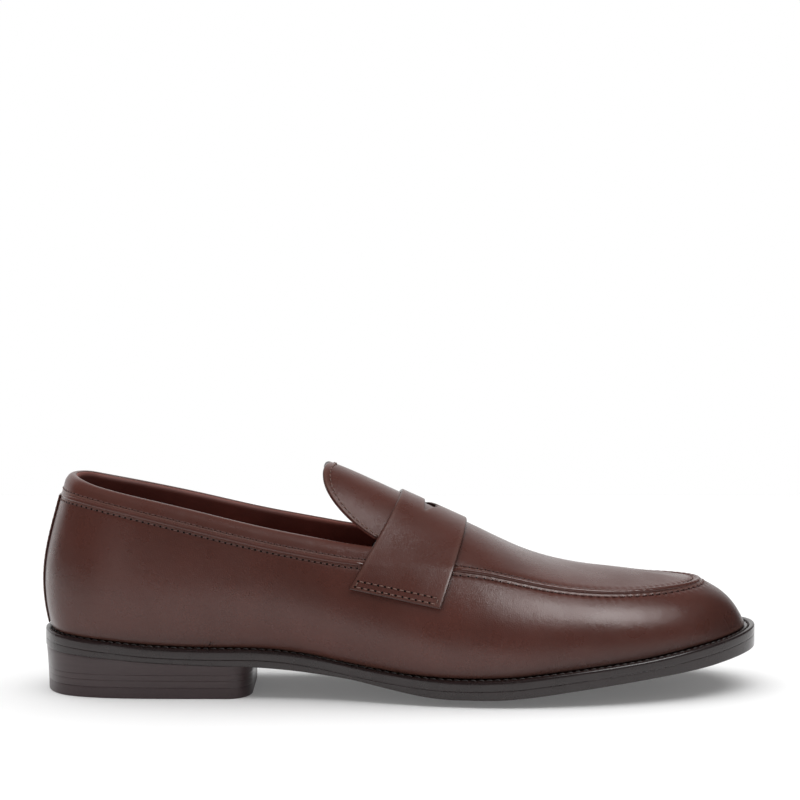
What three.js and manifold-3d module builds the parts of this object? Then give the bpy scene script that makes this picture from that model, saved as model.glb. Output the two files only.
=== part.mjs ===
// Penny loafer, right shoe. Millimetres, +X towards the toe, +Y towards the inner (medial) side, +Z up.
// The origin is under the middle of the shoe, on the ground that the heel and the ball rest on.
// Inside this file x counts forward from the back of the heel; the group is shifted at the end.
import * as THREE from 'three';
import Module from 'manifold-3d';

const wasm = await Module();
wasm.setup();

// ---------------------------------------------------------------- driving dimensions
const LENGTH = 300;               // back of the heel to the tip of the sole
const GAP = 0.3;                  // clearance between pieces that touch
const LEATHER = 1.3;              // outer leather
const LAYER_GAP = 0.5;            // clearance between the curved layers of the upper
const STIFFENER = 0.8;            // heel counter and toe puff
const LINING = 1.0;               // lining leather
const COLLAR_WIDTH = [9.6, 11];   // band between collar seam and topline, outer and inner side
const PIPING_RADIUS = 1.15;       // ridge in the collar and apron seams
const PIPING_SUNK = 0.35;
const WELT_THICK = 4.2;
const WELT_WIDTH = 13;
const INSOLE_THICK = 2.2;
const SOCK_THICK = 1.2;
const TOP_PIECE_THICK = 4.6;      // rubber piece under the heel
const LIFT_THICK = 2.6;           // one flat leather heel lift
const HEEL_FRONT = 89;            // heel breast, from the back of the heel
const STRAP_THICK = 1.3;
const BALL = 205;                 // where the sole bends
const NAIL_RADIUS = 1.1;
const NAIL_SPOTS = [[15, 0], [30, -19], [30, 18], [63, -20], [63, 17]];

// ---------------------------------------------------------------- master curves
// One row per spoke, from the back of the heel (first) to the toe (last). Every spoke runs from the
// sole edge up the wall to the seam, and on over the top to the crest line.
// Columns: outer sole x, y | inner sole x, y | seam x, half width, z | crest x, z |
//          wall flare at the sole, wall lean at the seam, top lean at the seam (degrees) | inset of the wall
const SPOKES = [
  [0.8, 0, 0.8, 0, 7.9, 0, 81.6, 48, 106, 14, 15, 12, 2.4],
  [3.4, -14, 3.4, 14, 10.4, 12.8, 81.6, 51, 106, 13, 14, 24, 2.4],
  [12, -25.5, 12, 25, 18.2, 23.0, 80.8, 58, 105.5, 11, 12, 41, 2.6],
  [32, -32, 32, 31, 36, 29.0, 77.0, 69, 104, 11, 12, 43, 3.0],
  [60, -33.5, 60, 32, 62, 31.5, 70.8, 83, 102, 13, 12, 38, 3.2],
  [88, -34, 88, 29.5, 90, 33.6, 64.2, 101, 99, 20, 13, 38, 3.0],
  [114, -36.5, 114, 28.5, 113, 35.0, 59.7, 119, 95.0, 28, 18, 38, 2.6],
  [138, -42, 138, 32, 135, 35.6, 56.4, 137, 87.6, 26, 26, 41, 2.8],
  [163, -48.5, 163, 40, 158, 35.6, 55.2, 157, 78.4, 18, 34, 46, 3.6],
  [190, -52, 188, 48, 183, 35.0, 52.8, 180, 67.8, 10, 42, 56, 4.6],
  [217, -50.3, 214, 52, 207, 34.5, 47.7, 201, 57.5, 6, 47, 63, 5.2],
  [243, -45, 241, 51.5, 230, 32.5, 44.5, 219, 52.1, 5, 50, 70, 5.2],
  [266, -36, 264, 45.5, 249.5, 27.0, 43.7, 234, 50.2, 2, 54, 76, 5.0],
  [284.5, -24, 284.5, 35, 264, 19.0, 44.0, 244, 49.1, -7, 60, 79, 4.6],
  [296.5, -9.5, 296.5, 21.5, 273, 10.0, 44.5, 249, 48.6, -18, 64, 80, 4.2],
  [300, 6, 300, 6, 276, 0, 44.7, 250.5, 48.4, -22, 66, 80, 4.2],
];
const TOE = SPOKES.length - 1;
const AROUND = 2 * TOE;           // spokes all the way round, back to the heel

// Heights of the sole's edge along the length: [x, z]
const WELT_TOP = [[0, 26.0], [27, 23.4], [47, 21.6], [68, 20.7], [89, 20.6], [102, 19.8], [115, 18],
  [130, 15.2], [145, 12.9], [160, 11.2], [175, 10.7], [195, 11.4], [210, 13], [225, 14.8],
  [240, 16.5], [255, 18.3], [270, 20.6], [285, 23.2], [300, 26.6]];
const SOLE_BOTTOM = [[0, 18.6], [27, 16.6], [47, 15.1], [68, 14], [89, 13.4], [102, 12.6], [115, 11.3],
  [130, 9.4], [145, 6.4], [160, 3.8], [172, 3], [190, 3.1], [205, 4.4], [220, 6.3], [235, 8.2],
  [250, 9.9], [265, 11.5], [280, 13.4], [300, 17.2]];
// The forepart is crowned across its width: depth below the edge [x, depth] and half width [x, y]
const CROWN = [[95, 0], [120, 0.7], [145, 2.1], [165, 2.9], [215, 3], [250, 2.2], [280, 1], [300, 0.4]];
const HALF_WIDTH = [[95, 32], [140, 37], [165, 44], [200, 50], [230, 49.5], [255, 43], [275, 33], [300, 20]];

// Smooth curve through [x, value] points
function profile(points) {
  const slope = (i) => {
    const a = points[Math.max(i - 1, 0)];
    const b = points[Math.min(i + 1, points.length - 1)];
    const isTurn = (points[i][1] - a[1]) * (b[1] - points[i][1]) <= 0;
    const isEnd = i === 0 || i === points.length - 1;
    return isTurn && !isEnd ? 0 : (b[1] - a[1]) / (b[0] - a[0]);
  };
  return (x) => {
    let i = 0;
    while (i < points.length - 2 && x > points[i + 1][0]) i += 1;
    const [x0, y0] = points[i];
    const [x1, y1] = points[i + 1];
    const span = x1 - x0;
    const t = THREE.MathUtils.clamp((x - x0) / span, 0, 1);
    const back = t - 1;
    return y0 * (1 + 2 * t) * back * back + y1 * t * t * (3 - 2 * t)
      + span * (slope(i) * t * back * back + slope(i + 1) * t * t * back);
  };
}

// Smooth closed curve through one value per spoke
function ring(values) {
  const count = values.length;
  let control = [...values];
  for (let pass = 0; pass < 70; pass += 1) {
    control = control.map((c, i) => {
      const before = control[(i + count - 1) % count];
      const after = control[(i + 1) % count];
      return c + values[i] - (before + 4 * c + after) / 6;
    });
  }
  return (s) => {
    const i = Math.floor(s);
    const f = s - i;
    const at = (k) => control[(((i + k) % count) + count) % count];
    const g = 1 - f;
    return (g ** 3 * at(-1) + (3 * f ** 3 - 6 * f ** 2 + 4) * at(0)
      + (3 * g ** 3 - 6 * g ** 2 + 4) * at(1) + f ** 3 * at(2)) / 6;
  };
}

// The centre line swings inward a little towards the toe
const centreLine = profile([[0, 0], [190, 0], [240, 1.6], [280, 4], [300, 5]]);
const crownDepth = profile(CROWN);
const halfWidth = profile(HALF_WIDTH);

// Height over the sole at a point, from the height of the edge at the same length
function crowned(edgeHeight, x, y) {
  const across = Math.min(1, Math.abs(y - centreLine(x)) / halfWidth(x));
  return edgeHeight(x) - crownDepth(x) * (1 - across * across);
}

const weltEdge = profile(WELT_TOP);
const soleEdge = profile(SOLE_BOTTOM);
const weltTop = (x, y) => crowned(weltEdge, x, y);
const soleBottom = (x, y) => crowned(soleEdge, x, y);

// Ring of one column, with its own rule for the inner half of the loop
function column(outer, inner = outer) {
  const values = [];
  for (let k = 0; k < AROUND; k += 1) {
    const isOuter = k <= TOE;
    const row = SPOKES[isOuter ? k : AROUND - k];
    values.push(isOuter ? outer(row) : inner(row));
  }
  return ring(values);
}

const soleX = column((r) => r[0], (r) => r[2]);
const soleY = column((r) => r[1], (r) => r[3]);
const seamX = column((r) => r[4]);
const seamY = column((r) => centreLine(r[4]) - r[5], (r) => centreLine(r[4]) + r[5]);
const seamZ = column((r) => r[6]);
const crestX = column((r) => r[7]);
const crestZ = column((r) => r[8]);
const wallFlare = column((r) => THREE.MathUtils.degToRad(r[9]));
const wallLean = column((r) => THREE.MathUtils.degToRad(r[10]));
const topLean = column((r) => THREE.MathUtils.degToRad(r[11]));
const wallInset = column((r) => r[12]);

const vec = (x, y, z) => new THREE.Vector3(x, y, z);

// Level direction out of the shoe at spoke s
function outward(s) {
  const step = 0.05;
  const dx = soleX(s + step) - soleX(s - step);
  const dy = soleY(s + step) - soleY(s - step);
  return vec(dy, -dx, 0).normalize();
}

// Sole outline moved inwards by an inset
function outline(s, inset) {
  return vec(soleX(s), soleY(s), 0).addScaledVector(outward(s), -inset);
}

// Slope of the crest line; at its two ends, where the spokes turn back, the slope just beside them
function crestSlope(s) {
  const step = 0.02;
  const beside = 0.06;
  const isEnd = Math.abs(crestX(s + step) - crestX(s - step)) < 1e-6;
  const middle = isEnd ? s + beside : s;
  const dx = crestX(middle + step) - crestX(middle - step);
  const dz = crestZ(middle + step) - crestZ(middle - step);
  return dz / dx;
}

function bezier(a, b, c, d, t) {
  const g = 1 - t;
  return a.clone().multiplyScalar(g ** 3).addScaledVector(b, 3 * g * g * t)
    .addScaledVector(c, 3 * g * t * t).addScaledVector(d, t ** 3);
}

// How far the handles of the wall's and the top's curves reach, as a share of the way between their ends
const WALL_LOW_HANDLE = 0.42;
const WALL_HIGH_HANDLE = 0.38;
const TOP_HANDLE = 0.36;

// Skin of the last: level 0 at the sole, 1 at the seam, 2 at the crest line
function skin(s, level) {
  const out = outward(s);
  const up = vec(0, 0, 1);
  const seam = vec(seamX(s), seamY(s), seamZ(s));
  if (level <= 1) {
    const foot = outline(s, wallInset(s));
    foot.z = weltTop(foot.x, foot.y) + GAP;
    const reach = foot.distanceTo(seam);
    const low = foot.clone().addScaledVector(out, WALL_LOW_HANDLE * reach * Math.sin(wallFlare(s)))
      .addScaledVector(up, WALL_LOW_HANDLE * reach * Math.cos(wallFlare(s)));
    const high = seam.clone().addScaledVector(out, WALL_HIGH_HANDLE * reach * Math.sin(wallLean(s)))
      .addScaledVector(up, -WALL_HIGH_HANDLE * reach * Math.cos(wallLean(s)));
    return bezier(foot, low, high, seam, level);
  }
  const crest = vec(crestX(s), centreLine(crestX(s)), crestZ(s));
  const reach = crest.distanceTo(seam);
  const low = seam.clone().addScaledVector(out, -TOP_HANDLE * reach * Math.sin(topLean(s)))
    .addScaledVector(up, TOP_HANDLE * reach * Math.cos(topLean(s)));
  const aside = vec(seam.x - crest.x, seam.y - crest.y, 0).normalize();
  aside.z = aside.x * crestSlope(s);
  const high = crest.clone().addScaledVector(aside, TOP_HANDLE * reach);
  return bezier(seam, low, high, crest, level - 1);
}

function rawNormal(s, level) {
  const ds = 0.03;
  const dl = 0.01;
  const low = Math.max(level - dl, level <= 1 ? 0 : 1);
  const high = Math.min(level + dl, level <= 1 ? 1 : 2);
  const along = skin(s + ds, level).sub(skin(s - ds, level));
  const across = skin(s, high).sub(skin(s, low));
  return along.cross(across).normalize();
}

// Outward normal; at the seam and at the crest the two sides share one normal
function skinNormal(s, level) {
  if (level > 1.985) return rawNormal(s, 1.985).add(rawNormal(AROUND - s, 1.985)).normalize();
  if (Math.abs(level - 1) < 0.02) return rawNormal(s, 0.98).add(rawNormal(s, 1.02)).normalize();
  return rawNormal(s, level);
}

function skinPoint(s, level, offset) {
  return skin(s, level).addScaledVector(skinNormal(s, level), offset);
}

// ---------------------------------------------------------------- solids
// Closed solid between an outer and an inner sheet of points. A wrapped sheet joins its first and
// last columns; a zipped one closes its last row onto itself along the middle of the shoe.
function sheetSolid(columns, rows, pointAt, { wrapped = false, zipped = false } = {}) {
  const vertices = [];
  const numbers = new Map();
  const number = (layer, i, j) => {
    let column = wrapped ? i % columns : i;
    if (zipped && j === rows && column > columns / 2) column = columns - column;
    const key = `${layer},${column},${j}`;
    if (!numbers.has(key)) {
      numbers.set(key, vertices.length / 3);
      vertices.push(...pointAt(column / columns, j / rows, layer).toArray());
    }
    return numbers.get(key);
  };
  const faces = [];
  const quad = (a, b, c, d) => faces.push(a, b, c, a, c, d);
  for (let i = 0; i < columns; i += 1) {
    for (let j = 0; j < rows; j += 1) {
      quad(number(0, i, j), number(0, i + 1, j), number(0, i + 1, j + 1), number(0, i, j + 1));
      quad(number(1, i, j), number(1, i, j + 1), number(1, i + 1, j + 1), number(1, i + 1, j));
    }
    quad(number(1, i, 0), number(1, i + 1, 0), number(0, i + 1, 0), number(0, i, 0));
    if (!zipped) {
      quad(number(0, i, rows), number(0, i + 1, rows), number(1, i + 1, rows), number(1, i, rows));
    }
  }
  for (let j = 0; j < rows && !wrapped; j += 1) {
    quad(number(0, 0, j), number(0, 0, j + 1), number(1, 0, j + 1), number(1, 0, j));
    quad(number(1, columns, j), number(1, columns, j + 1), number(0, columns, j + 1), number(0, columns, j));
  }
  return indexed(vertices, faces);
}

function indexed(vertices, faces) {
  const geometry = new THREE.BufferGeometry();
  geometry.setAttribute('position', new THREE.Float32BufferAttribute(vertices, 3));
  geometry.setIndex(faces);
  return geometry;
}

const mix = THREE.MathUtils.lerp;

// Leather laid on the last between two offsets, over spokes from..to and levels low..high
function leather(from, to, low, high, offsets, columns, rows, options) {
  return sheetSolid(columns, rows, (a, b, layer) => {
    const s = mix(from, to, a);
    return skinPoint(s, mix(low(s), high(s), b), offsets[layer]);
  }, options);
}

// A point of the sole's plan, from the edge (b 0) in to the middle line (b 1)
const MIDDLE = [34, 258];         // ends of the middle line that a sole's layers close onto
function inPlan(s, inset, b) {
  const middle = mix(...MIDDLE, (seamX(s) - seamX(0)) / (seamX(TOE) - seamX(0)));
  return outline(s, inset).lerp(vec(middle, centreLine(middle), 0), b);
}

// Flat layer of the bottom, between two heights that follow the length
function plate(inset, top, bottom, columns, rows) {
  return sheetSolid(columns, rows, (a, b, layer) => {
    const s = a * AROUND;
    const point = inPlan(s, inset(s), b);
    point.z = (layer === 0 ? top : bottom)(point.x, point.y);
    return point;
  }, { wrapped: true, zipped: true });
}

// Flat ring of the bottom between two insets
function rim(outerInset, innerInset, top, bottom, columns) {
  return sheetSolid(columns, 1, (a, b, layer) => {
    const point = outline(a * AROUND, mix(outerInset, innerInset, b));
    point.z = (layer === 0 ? top : bottom)(point.x, point.y);
    return point;
  }, { wrapped: true });
}

// Round cord laid in the seam
function piping(from, to, columns) {
  const sides = 6;
  const vertices = [];
  const faces = [];
  for (let i = 0; i <= columns; i += 1) {
    const s = mix(from, to, i / columns);
    const normal = skinNormal(s, 1);
    const across = skin(s, 1.02).sub(skin(s, 0.98)).normalize();
    const centre = skinPoint(s, 1, -PIPING_SUNK);
    for (let k = 0; k < sides; k += 1) {
      const angle = (2 * Math.PI * k) / sides;
      vertices.push(...centre.clone().addScaledVector(normal, PIPING_RADIUS * Math.cos(angle))
        .addScaledVector(across, PIPING_RADIUS * Math.sin(angle)).toArray());
    }
  }
  for (let i = 0; i < columns; i += 1) {
    for (let k = 0; k < sides; k += 1) {
      const a = i * sides + k;
      const b = i * sides + ((k + 1) % sides);
      const c = a + sides;
      const d = b + sides;
      faces.push(a, d, b, a, c, d);
    }
  }
  const last = columns * sides;
  for (let k = 1; k < sides - 1; k += 1) {
    faces.push(0, k, k + 1);
    faces.push(last, last + k + 1, last + k);
  }
  return indexed(vertices, faces);
}

// ---------------------------------------------------------------- cutting
function toSolid(geometry) {
  return new wasm.Manifold(new wasm.Mesh({
    numProp: 3,
    vertProperties: new Float32Array(geometry.attributes.position.array),
    triVerts: new Uint32Array(geometry.index.array),
  }));
}

function toGeometry(solid) {
  const mesh = solid.getMesh();
  return indexed(mesh.vertProperties, Array.from(mesh.triVerts));
}

// Prism of a plan outline between two heights
function prism(points, low, high) {
  const shape = new THREE.Shape(points.map(([x, y]) => new THREE.Vector2(x, y)));
  const geometry = new THREE.ExtrudeGeometry(shape, { depth: high - low, bevelEnabled: false });
  geometry.translate(0, 0, low);
  return welded(geometry);
}

// Index a three.js geometry by position only, so that it is one closed body
function welded(geometry) {
  const loose = geometry.index ? geometry.toNonIndexed() : geometry;
  const position = loose.attributes.position;
  const vertices = [];
  const faces = [];
  const numbers = new Map();
  for (let i = 0; i < position.count; i += 1) {
    const point = [position.getX(i), position.getY(i), position.getZ(i)];
    const key = point.map((value) => value.toFixed(4)).join();
    if (!numbers.has(key)) {
      numbers.set(key, vertices.length / 3);
      vertices.push(...point);
    }
    faces.push(numbers.get(key));
  }
  return indexed(vertices, faces);
}

function block(fromX, toX) {
  const wide = LENGTH;
  return prism([[fromX, -wide], [toX, -wide], [toX, wide], [fromX, wide]], -wide, wide);
}

const behindBall = toSolid(block(-50, BALL - GAP / 2));
const aheadOfBall = toSolid(block(BALL + GAP / 2, LENGTH + 50));

const keep = (geometry, region) => toGeometry(toSolid(geometry).intersect(region));

// ---------------------------------------------------------------- places on the last
const foldRoom = PIPING_RADIUS + GAP;        // leather edges stop this far from the seam

// Level a given distance below or above the seam
function belowSeam(s, distance) {
  const foot = skin(s, 0);
  return 1 - distance / (3 * WALL_HIGH_HANDLE * foot.distanceTo(skin(s, 1)));
}

function aboveSeam(s, distance) {
  const seam = skin(s, 1);
  let low = 1;
  let high = 1.5;
  for (let pass = 0; pass < 16; pass += 1) {
    const level = (low + high) / 2;
    if (skin(s, level).distanceTo(seam) < distance) low = level;
    else high = level;
  }
  return (low + high) / 2;
}

// Lowest level at which a layer with this offset clears the welt
function footLevel(s, offset) {
  let low = 0;
  let high = 0.3;
  for (let pass = 0; pass < 14; pass += 1) {
    const level = (low + high) / 2;
    const point = skinPoint(s, level, offset);
    if (point.z < weltTop(point.x, point.y) + GAP) low = level;
    else high = level;
  }
  return high;
}

// Spoke where a level meets a cross plane; the plane leans back by lean per unit of height
function planeSpoke(level, plane) {
  let near = 4;
  let far = 12.5;
  for (let pass = 0; pass < 26; pass += 1) {
    const middle = (near + far) / 2;
    const point = skin(middle, level);
    if (point.x < plane.x - (plane.z - point.z) * plane.lean) near = middle;
    else far = middle;
  }
  return (near + far) / 2;
}

const shifted = (plane, x) => ({ ...plane, x: plane.x + x });
const strapRear = { x: 149.5, z: 80.5, lean: 0.6 };
const strapFront = { x: 177.5, z: 69, lean: 0.37 };
const throat = shifted(strapRear, 3);        // the collar and the tongue end under the strap

// Level of the strap's lower edge, which drops towards the toe
const STRAP_FOOT = { x: 129.8, z: 46.3, drop: 0.2 };
function strapEdge(a) {
  let low = 0.3;
  let high = 1.2;
  for (let pass = 0; pass < 20; pass += 1) {
    const level = (low + high) / 2;
    const point = skin(strapSpoke(level, a), level);
    if (point.z < STRAP_FOOT.z - (point.x - STRAP_FOOT.x) * STRAP_FOOT.drop) low = level;
    else high = level;
  }
  return (low + high) / 2;
}

function strapSpoke(level, a) {
  return mix(planeSpoke(level, strapRear), planeSpoke(level, strapFront), a);
}

// The tongue's free edge runs from the topline up to a rounded tip on the crest line; inset moves it
// towards the toe
const TONGUE_TIP = 120.5;
const TONGUE_LOW = 1.26;
const TONGUE_BULGE = 3.4;                    // rearward bulge, halfway down the edge
const TONGUE_SWEEP = { reach: 19, power: 3.6 };
function tongueEdge(level, inset) {
  const t = THREE.MathUtils.clamp((2 - level) / (2 - TONGUE_LOW), 0, 1);
  const bulge = TONGUE_BULGE * Math.sin(Math.PI * t);
  const x = TONGUE_TIP + inset - bulge + TONGUE_SWEEP.reach * t ** TONGUE_SWEEP.power;
  return planeSpoke(level, { x, z: 0, lean: 0 });
}

// ---------------------------------------------------------------- pieces
const group = new THREE.Group();

function add(name, geometry, color, roughness, metalness = 0) {
  geometry.computeVertexNormals();
  const material = new THREE.MeshStandardMaterial({ color, roughness, metalness, flatShading: true });
  const mesh = new THREE.Mesh(geometry, material);
  mesh.name = name;
  group.add(mesh);
}

const UPPER = 0x4a2a20;
const TAN_LINING = 0x5a2f22;
const SOLE_EDGE = 0x1d1513;
const CORK = 0xa87f52;
const BOARD = 0xb79a73;

const outerSkin = [0, -LEATHER];
const stiffenerSkin = [-LEATHER - LAYER_GAP, -LEATHER - LAYER_GAP - STIFFENER];
const liningFace = -LEATHER - 2 * LAYER_GAP - STIFFENER;
const liningSkin = [liningFace, liningFace - LINING];

// Wall of the upper: two halves behind the ball, joined by the back strip, and one round the toe
const backSeam = 0.03;
const wallTop = (s) => belowSeam(s, foldRoom);
const floor = (s) => footLevel(s, outerSkin[1]);
const TOE_START = 9;                         // spoke where the toe pieces are laid from, before the cut
const outerWall = leather(backSeam, TOE, floor, wallTop, outerSkin, 30, 4);
const innerWall = leather(TOE, AROUND - backSeam, floor, wallTop, outerSkin, 30, 4);
const toeWall = leather(TOE_START, AROUND - TOE_START, floor, wallTop, outerSkin, 32, 4);
add('wall_rear_outer', keep(outerWall, behindBall), UPPER, 0.42);
add('wall_rear_inner', keep(innerWall, behindBall), UPPER, 0.42);
add('wall_toe', keep(toeWall, aheadOfBall), UPPER, 0.4);
const STRIP_HALF = 0.34;                     // half width of the back strip, in spokes
const STRIP_THICK = 0.6;
const STRIP_FOOT = 0.02;                    // level at which the strip starts
const stripSkin = [GAP + STRIP_THICK, GAP];
add('back_strip', leather(-STRIP_HALF, STRIP_HALF, () => STRIP_FOOT, wallTop, stripSkin, 2, 7), UPPER, 0.42);

// Collar band and the ridge in its seam
const collarLow = (s) => aboveSeam(s, foldRoom);
function collarTop(s) {
  const blend = THREE.MathUtils.smoothstep(Math.sin((2 * Math.PI * s) / AROUND), -0.6, 0.6);
  return aboveSeam(s, mix(COLLAR_WIDTH[1], COLLAR_WIDTH[0], blend));
}
const collarEnd = (level) => planeSpoke(level, throat);

function collar(low, high, offsets, columns, rows, end = collarEnd) {
  return sheetSolid(columns, rows, (a, b, layer) => {
    const guess = mix(-end(1), end(1), a);
    const level = mix(low(guess), high(guess), b);
    return skinPoint(mix(-end(level), end(level), a), level, offsets[layer]);
  });
}

add('collar_band', collar(collarLow, collarTop, outerSkin, 36, 1), UPPER, 0.42);
const collarPipingEnd = planeSpoke(1, shifted(strapRear, -0.5));
add('collar_piping', piping(-collarPipingEnd, collarPipingEnd, 44), UPPER, 0.4);

// Apron: from the throat over the instep, closing on itself at the toe
function cover(plane, lowAt, offsets, columns, rows, zipped = true) {
  return sheetSolid(columns, rows, (a, b, layer) => {
    const side = 1 - 2 * a;
    const level = mix(2, lowAt(mix(planeSpoke(1, plane), TOE, b)), Math.abs(side));
    const s = mix(planeSpoke(level, plane), TOE, b);
    return skinPoint(side < 0 ? s : AROUND - s, level, offsets[layer]);
  }, { zipped });
}

const apronRear = shifted(throat, 0.5);
const apron = cover(apronRear, (s) => aboveSeam(s, foldRoom), outerSkin, 12, 16);
add('apron_rear', keep(apron, behindBall), UPPER, 0.4);
add('apron_toe', keep(apron, aheadOfBall), UPPER, 0.38);

const ridgeStart = planeSpoke(1, shifted(strapFront, 0.8));
const outerRidge = piping(ridgeStart, TOE, 20);
const innerRidge = piping(TOE, AROUND - ridgeStart, 20);
const toeRidge = piping(TOE_START, AROUND - TOE_START, 34);
add('apron_piping_outer', keep(outerRidge, behindBall), UPPER, 0.38);
add('apron_piping_inner', keep(innerRidge, behindBall), UPPER, 0.38);
add('apron_piping_toe', keep(toeRidge, aheadOfBall), UPPER, 0.38);

// Tongue, in front of the foot opening, with its own lining
// Its front edge is held under the strap near the crest only; lower down it stops short of the strap, so
// that it can lift
const TONGUE_HELD = { crest: 2.2, side: -1.8, levels: [1.72, 1.93] };
const TONGUE_CORNER = 1.31;                  // level of its lower corners
function tongueSheet(offsets, inset) {
  const lowest = TONGUE_CORNER + 0.01 * inset;
  return sheetSolid(12, 4, (a, b, layer) => {
    const side = 1 - 2 * a;
    const level = mix(2, lowest, Math.abs(side));
    const held = THREE.MathUtils.smoothstep(level, ...TONGUE_HELD.levels);
    const front = shifted(strapRear, mix(TONGUE_HELD.side, TONGUE_HELD.crest, held));
    const s = mix(tongueEdge(level, inset), planeSpoke(level, front), b);
    return skinPoint(side < 0 ? s : AROUND - s, level, offsets[layer]);
  });
}

add('tongue', tongueSheet(outerSkin, 0), UPPER, 0.42);
add('tongue_lining', tongueSheet([outerSkin[1] - GAP, outerSkin[1] - GAP - LINING], 1), TAN_LINING, 0.6);

// Saddle strap with the slot across its middle
function strapSheet() {
  return sheetSolid(26, 3, (a, b, layer) => {
    const side = 1 - 2 * a;
    const level = mix(2, strapEdge(b), Math.abs(side));
    const s = strapSpoke(level, b);
    return skinPoint(side < 0 ? s : AROUND - s, level, layer === 0 ? GAP + STRAP_THICK : GAP);
  });
}

const SLOT_HALF = 12;
const SLOT_REAR = 160;
const SLOT_DEEP = 6;
const slot = toSolid(prism([[SLOT_REAR, -SLOT_HALF], [SLOT_REAR + 0.8 * SLOT_DEEP, -0.3 * SLOT_HALF],
  [SLOT_REAR + 0.7 * SLOT_DEEP, -0.1 * SLOT_HALF], [SLOT_REAR + SLOT_DEEP, 0],
  [SLOT_REAR + 0.7 * SLOT_DEEP, 0.1 * SLOT_HALF], [SLOT_REAR + 0.8 * SLOT_DEEP, 0.3 * SLOT_HALF],
  [SLOT_REAR, SLOT_HALF]], 50, 110));
add('saddle_strap', toGeometry(toSolid(strapSheet()).subtract(slot)), UPPER, 0.4);

// Linings and stiffeners
const liningLow = (s) => footLevel(s, liningSkin[1]);
const liningEnd = (level) => planeSpoke(level, shifted(throat, -0.3));
add('quarter_lining', collar(liningLow, collarTop, liningSkin, 36, 5, liningEnd), TAN_LINING, 0.6);
const vampLining = cover(apronRear, liningLow, liningSkin, 18, 15);
add('vamp_lining_rear', keep(vampLining, behindBall), TAN_LINING, 0.6);
add('vamp_lining_toe', keep(vampLining, aheadOfBall), TAN_LINING, 0.6);
const COUNTER = { end: 3.6, low: 0.04, high: 0.74 };      // its end spokes and its levels
add('heel_counter', leather(-COUNTER.end, COUNTER.end, () => COUNTER.low, () => COUNTER.high,
  stiffenerSkin, 16, 3), BOARD, 0.8);
const PUFF = { start: 12.6, low: 0.1, thinner: 0.1 };
const puffSkin = [stiffenerSkin[0] - PUFF.thinner, stiffenerSkin[1] + PUFF.thinner];
add('toe_puff', sheetSolid(18, 6, (a, b, layer) => {
  const side = 1 - 2 * a;
  const s = mix(PUFF.start, TOE, b);
  return skinPoint(side < 0 ? s : AROUND - s, mix(2, PUFF.low, Math.abs(side)), puffSkin[layer]);
}, { zipped: true }), BOARD, 0.8);

// Bottom, from the welt up: welt ring, cork filler with the shank in it, insole, heel pad and sock
const weltBottom = (x, y) => weltTop(x, y) - WELT_THICK;
const raised = (height) => (x, y) => weltTop(x, y) + height;
const welt = rim(0, WELT_WIDTH, weltTop, weltBottom, 56);
add('welt_rear', keep(welt, behindBall), SOLE_EDGE, 0.35);
add('welt_toe', keep(welt, aheadOfBall), SOLE_EDGE, 0.35);

const SHANK_LENGTH = [46, 150];
const SHANK_HALF = 6.5;
const SHANK_THICK = 1.4;
function shankSheet(grow, top) {
  return sheetSolid(12, 1, (a, b, layer) => {
    const x = mix(SHANK_LENGTH[0] - grow, SHANK_LENGTH[1] + grow, a);
    const z = layer === 0 ? top(x, 0) : weltTop(x, 0) - SHANK_THICK - 0.2 - grow;
    return vec(x, mix(-SHANK_HALF - grow, SHANK_HALF + grow, b), z);
  });
}

const filler = plate(() => WELT_WIDTH + GAP, weltTop, raised(GAP - WELT_THICK), 56, 3);
const shankSlot = toSolid(shankSheet(GAP, raised(5)));
add('cork_filler_rear', toGeometry(toSolid(filler).intersect(behindBall).subtract(shankSlot)), CORK, 0.9);
add('cork_filler_toe', keep(filler, aheadOfBall), CORK, 0.9);
add('shank', shankSheet(0, raised(-0.2)), 0x8d9196, 0.4, 0.9);

const layers = LEATHER + STIFFENER + LINING + 2 * LAYER_GAP;
const FOOTBED_ROOM = 1.5;                    // clearance beside the insole
const FOOTBED_HIGH = 6;                      // the footbed clears a wall that leans in, up to this height
const leanIn = (s) => Math.max(0, -Math.tan(wallFlare(s)));
const footbedInset = (s) => wallInset(s) + layers + FOOTBED_ROOM + FOOTBED_HIGH * leanIn(s);
const insoleTop = raised(LAYER_GAP + INSOLE_THICK);
const insole = plate(footbedInset, insoleTop, raised(LAYER_GAP), 56, 3);
const PAD = { inset: 7, front: 72, above: 0.7, open: 8 };  // above: board left under the pad
const padOutline = (grow) => (s) => footbedInset(s) + PAD.inset - grow;
const heelArea = (grow) => toSolid(block(-LENGTH, PAD.front + grow));
const recessSheet = plate(padOutline(GAP), raised(PAD.open), raised(LAYER_GAP + PAD.above), 56, 3);
const padRecess = toSolid(recessSheet).intersect(heelArea(GAP));
add('insole_rear', toGeometry(toSolid(insole).intersect(behindBall).subtract(padRecess)), BOARD, 0.8);
add('insole_toe', keep(insole, aheadOfBall), BOARD, 0.8);
const padSheet = plate(padOutline(0), insoleTop, raised(LAYER_GAP + GAP + PAD.above), 56, 3);
add('heel_pad', keep(padSheet, heelArea(0)), 0xd8c9a8, 0.9);
const sockBottom = raised(LAYER_GAP + GAP + INSOLE_THICK);
const sock = plate(footbedInset, raised(LAYER_GAP + GAP + INSOLE_THICK + SOCK_THICK), sockBottom, 56, 3);
add('sock_liner_rear', keep(sock, behindBall), TAN_LINING, 0.6);
add('sock_liner_toe', keep(sock, aheadOfBall), TAN_LINING, 0.6);

// Outsole and stacked heel
const outsole = plate(() => 0.4, raised(-WELT_THICK - GAP), soleBottom, 56, 4);
add('outsole_rear', keep(outsole, behindBall), SOLE_EDGE, 0.4);
add('outsole_toe', keep(outsole, aheadOfBall), SOLE_EDGE, 0.4);

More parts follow.
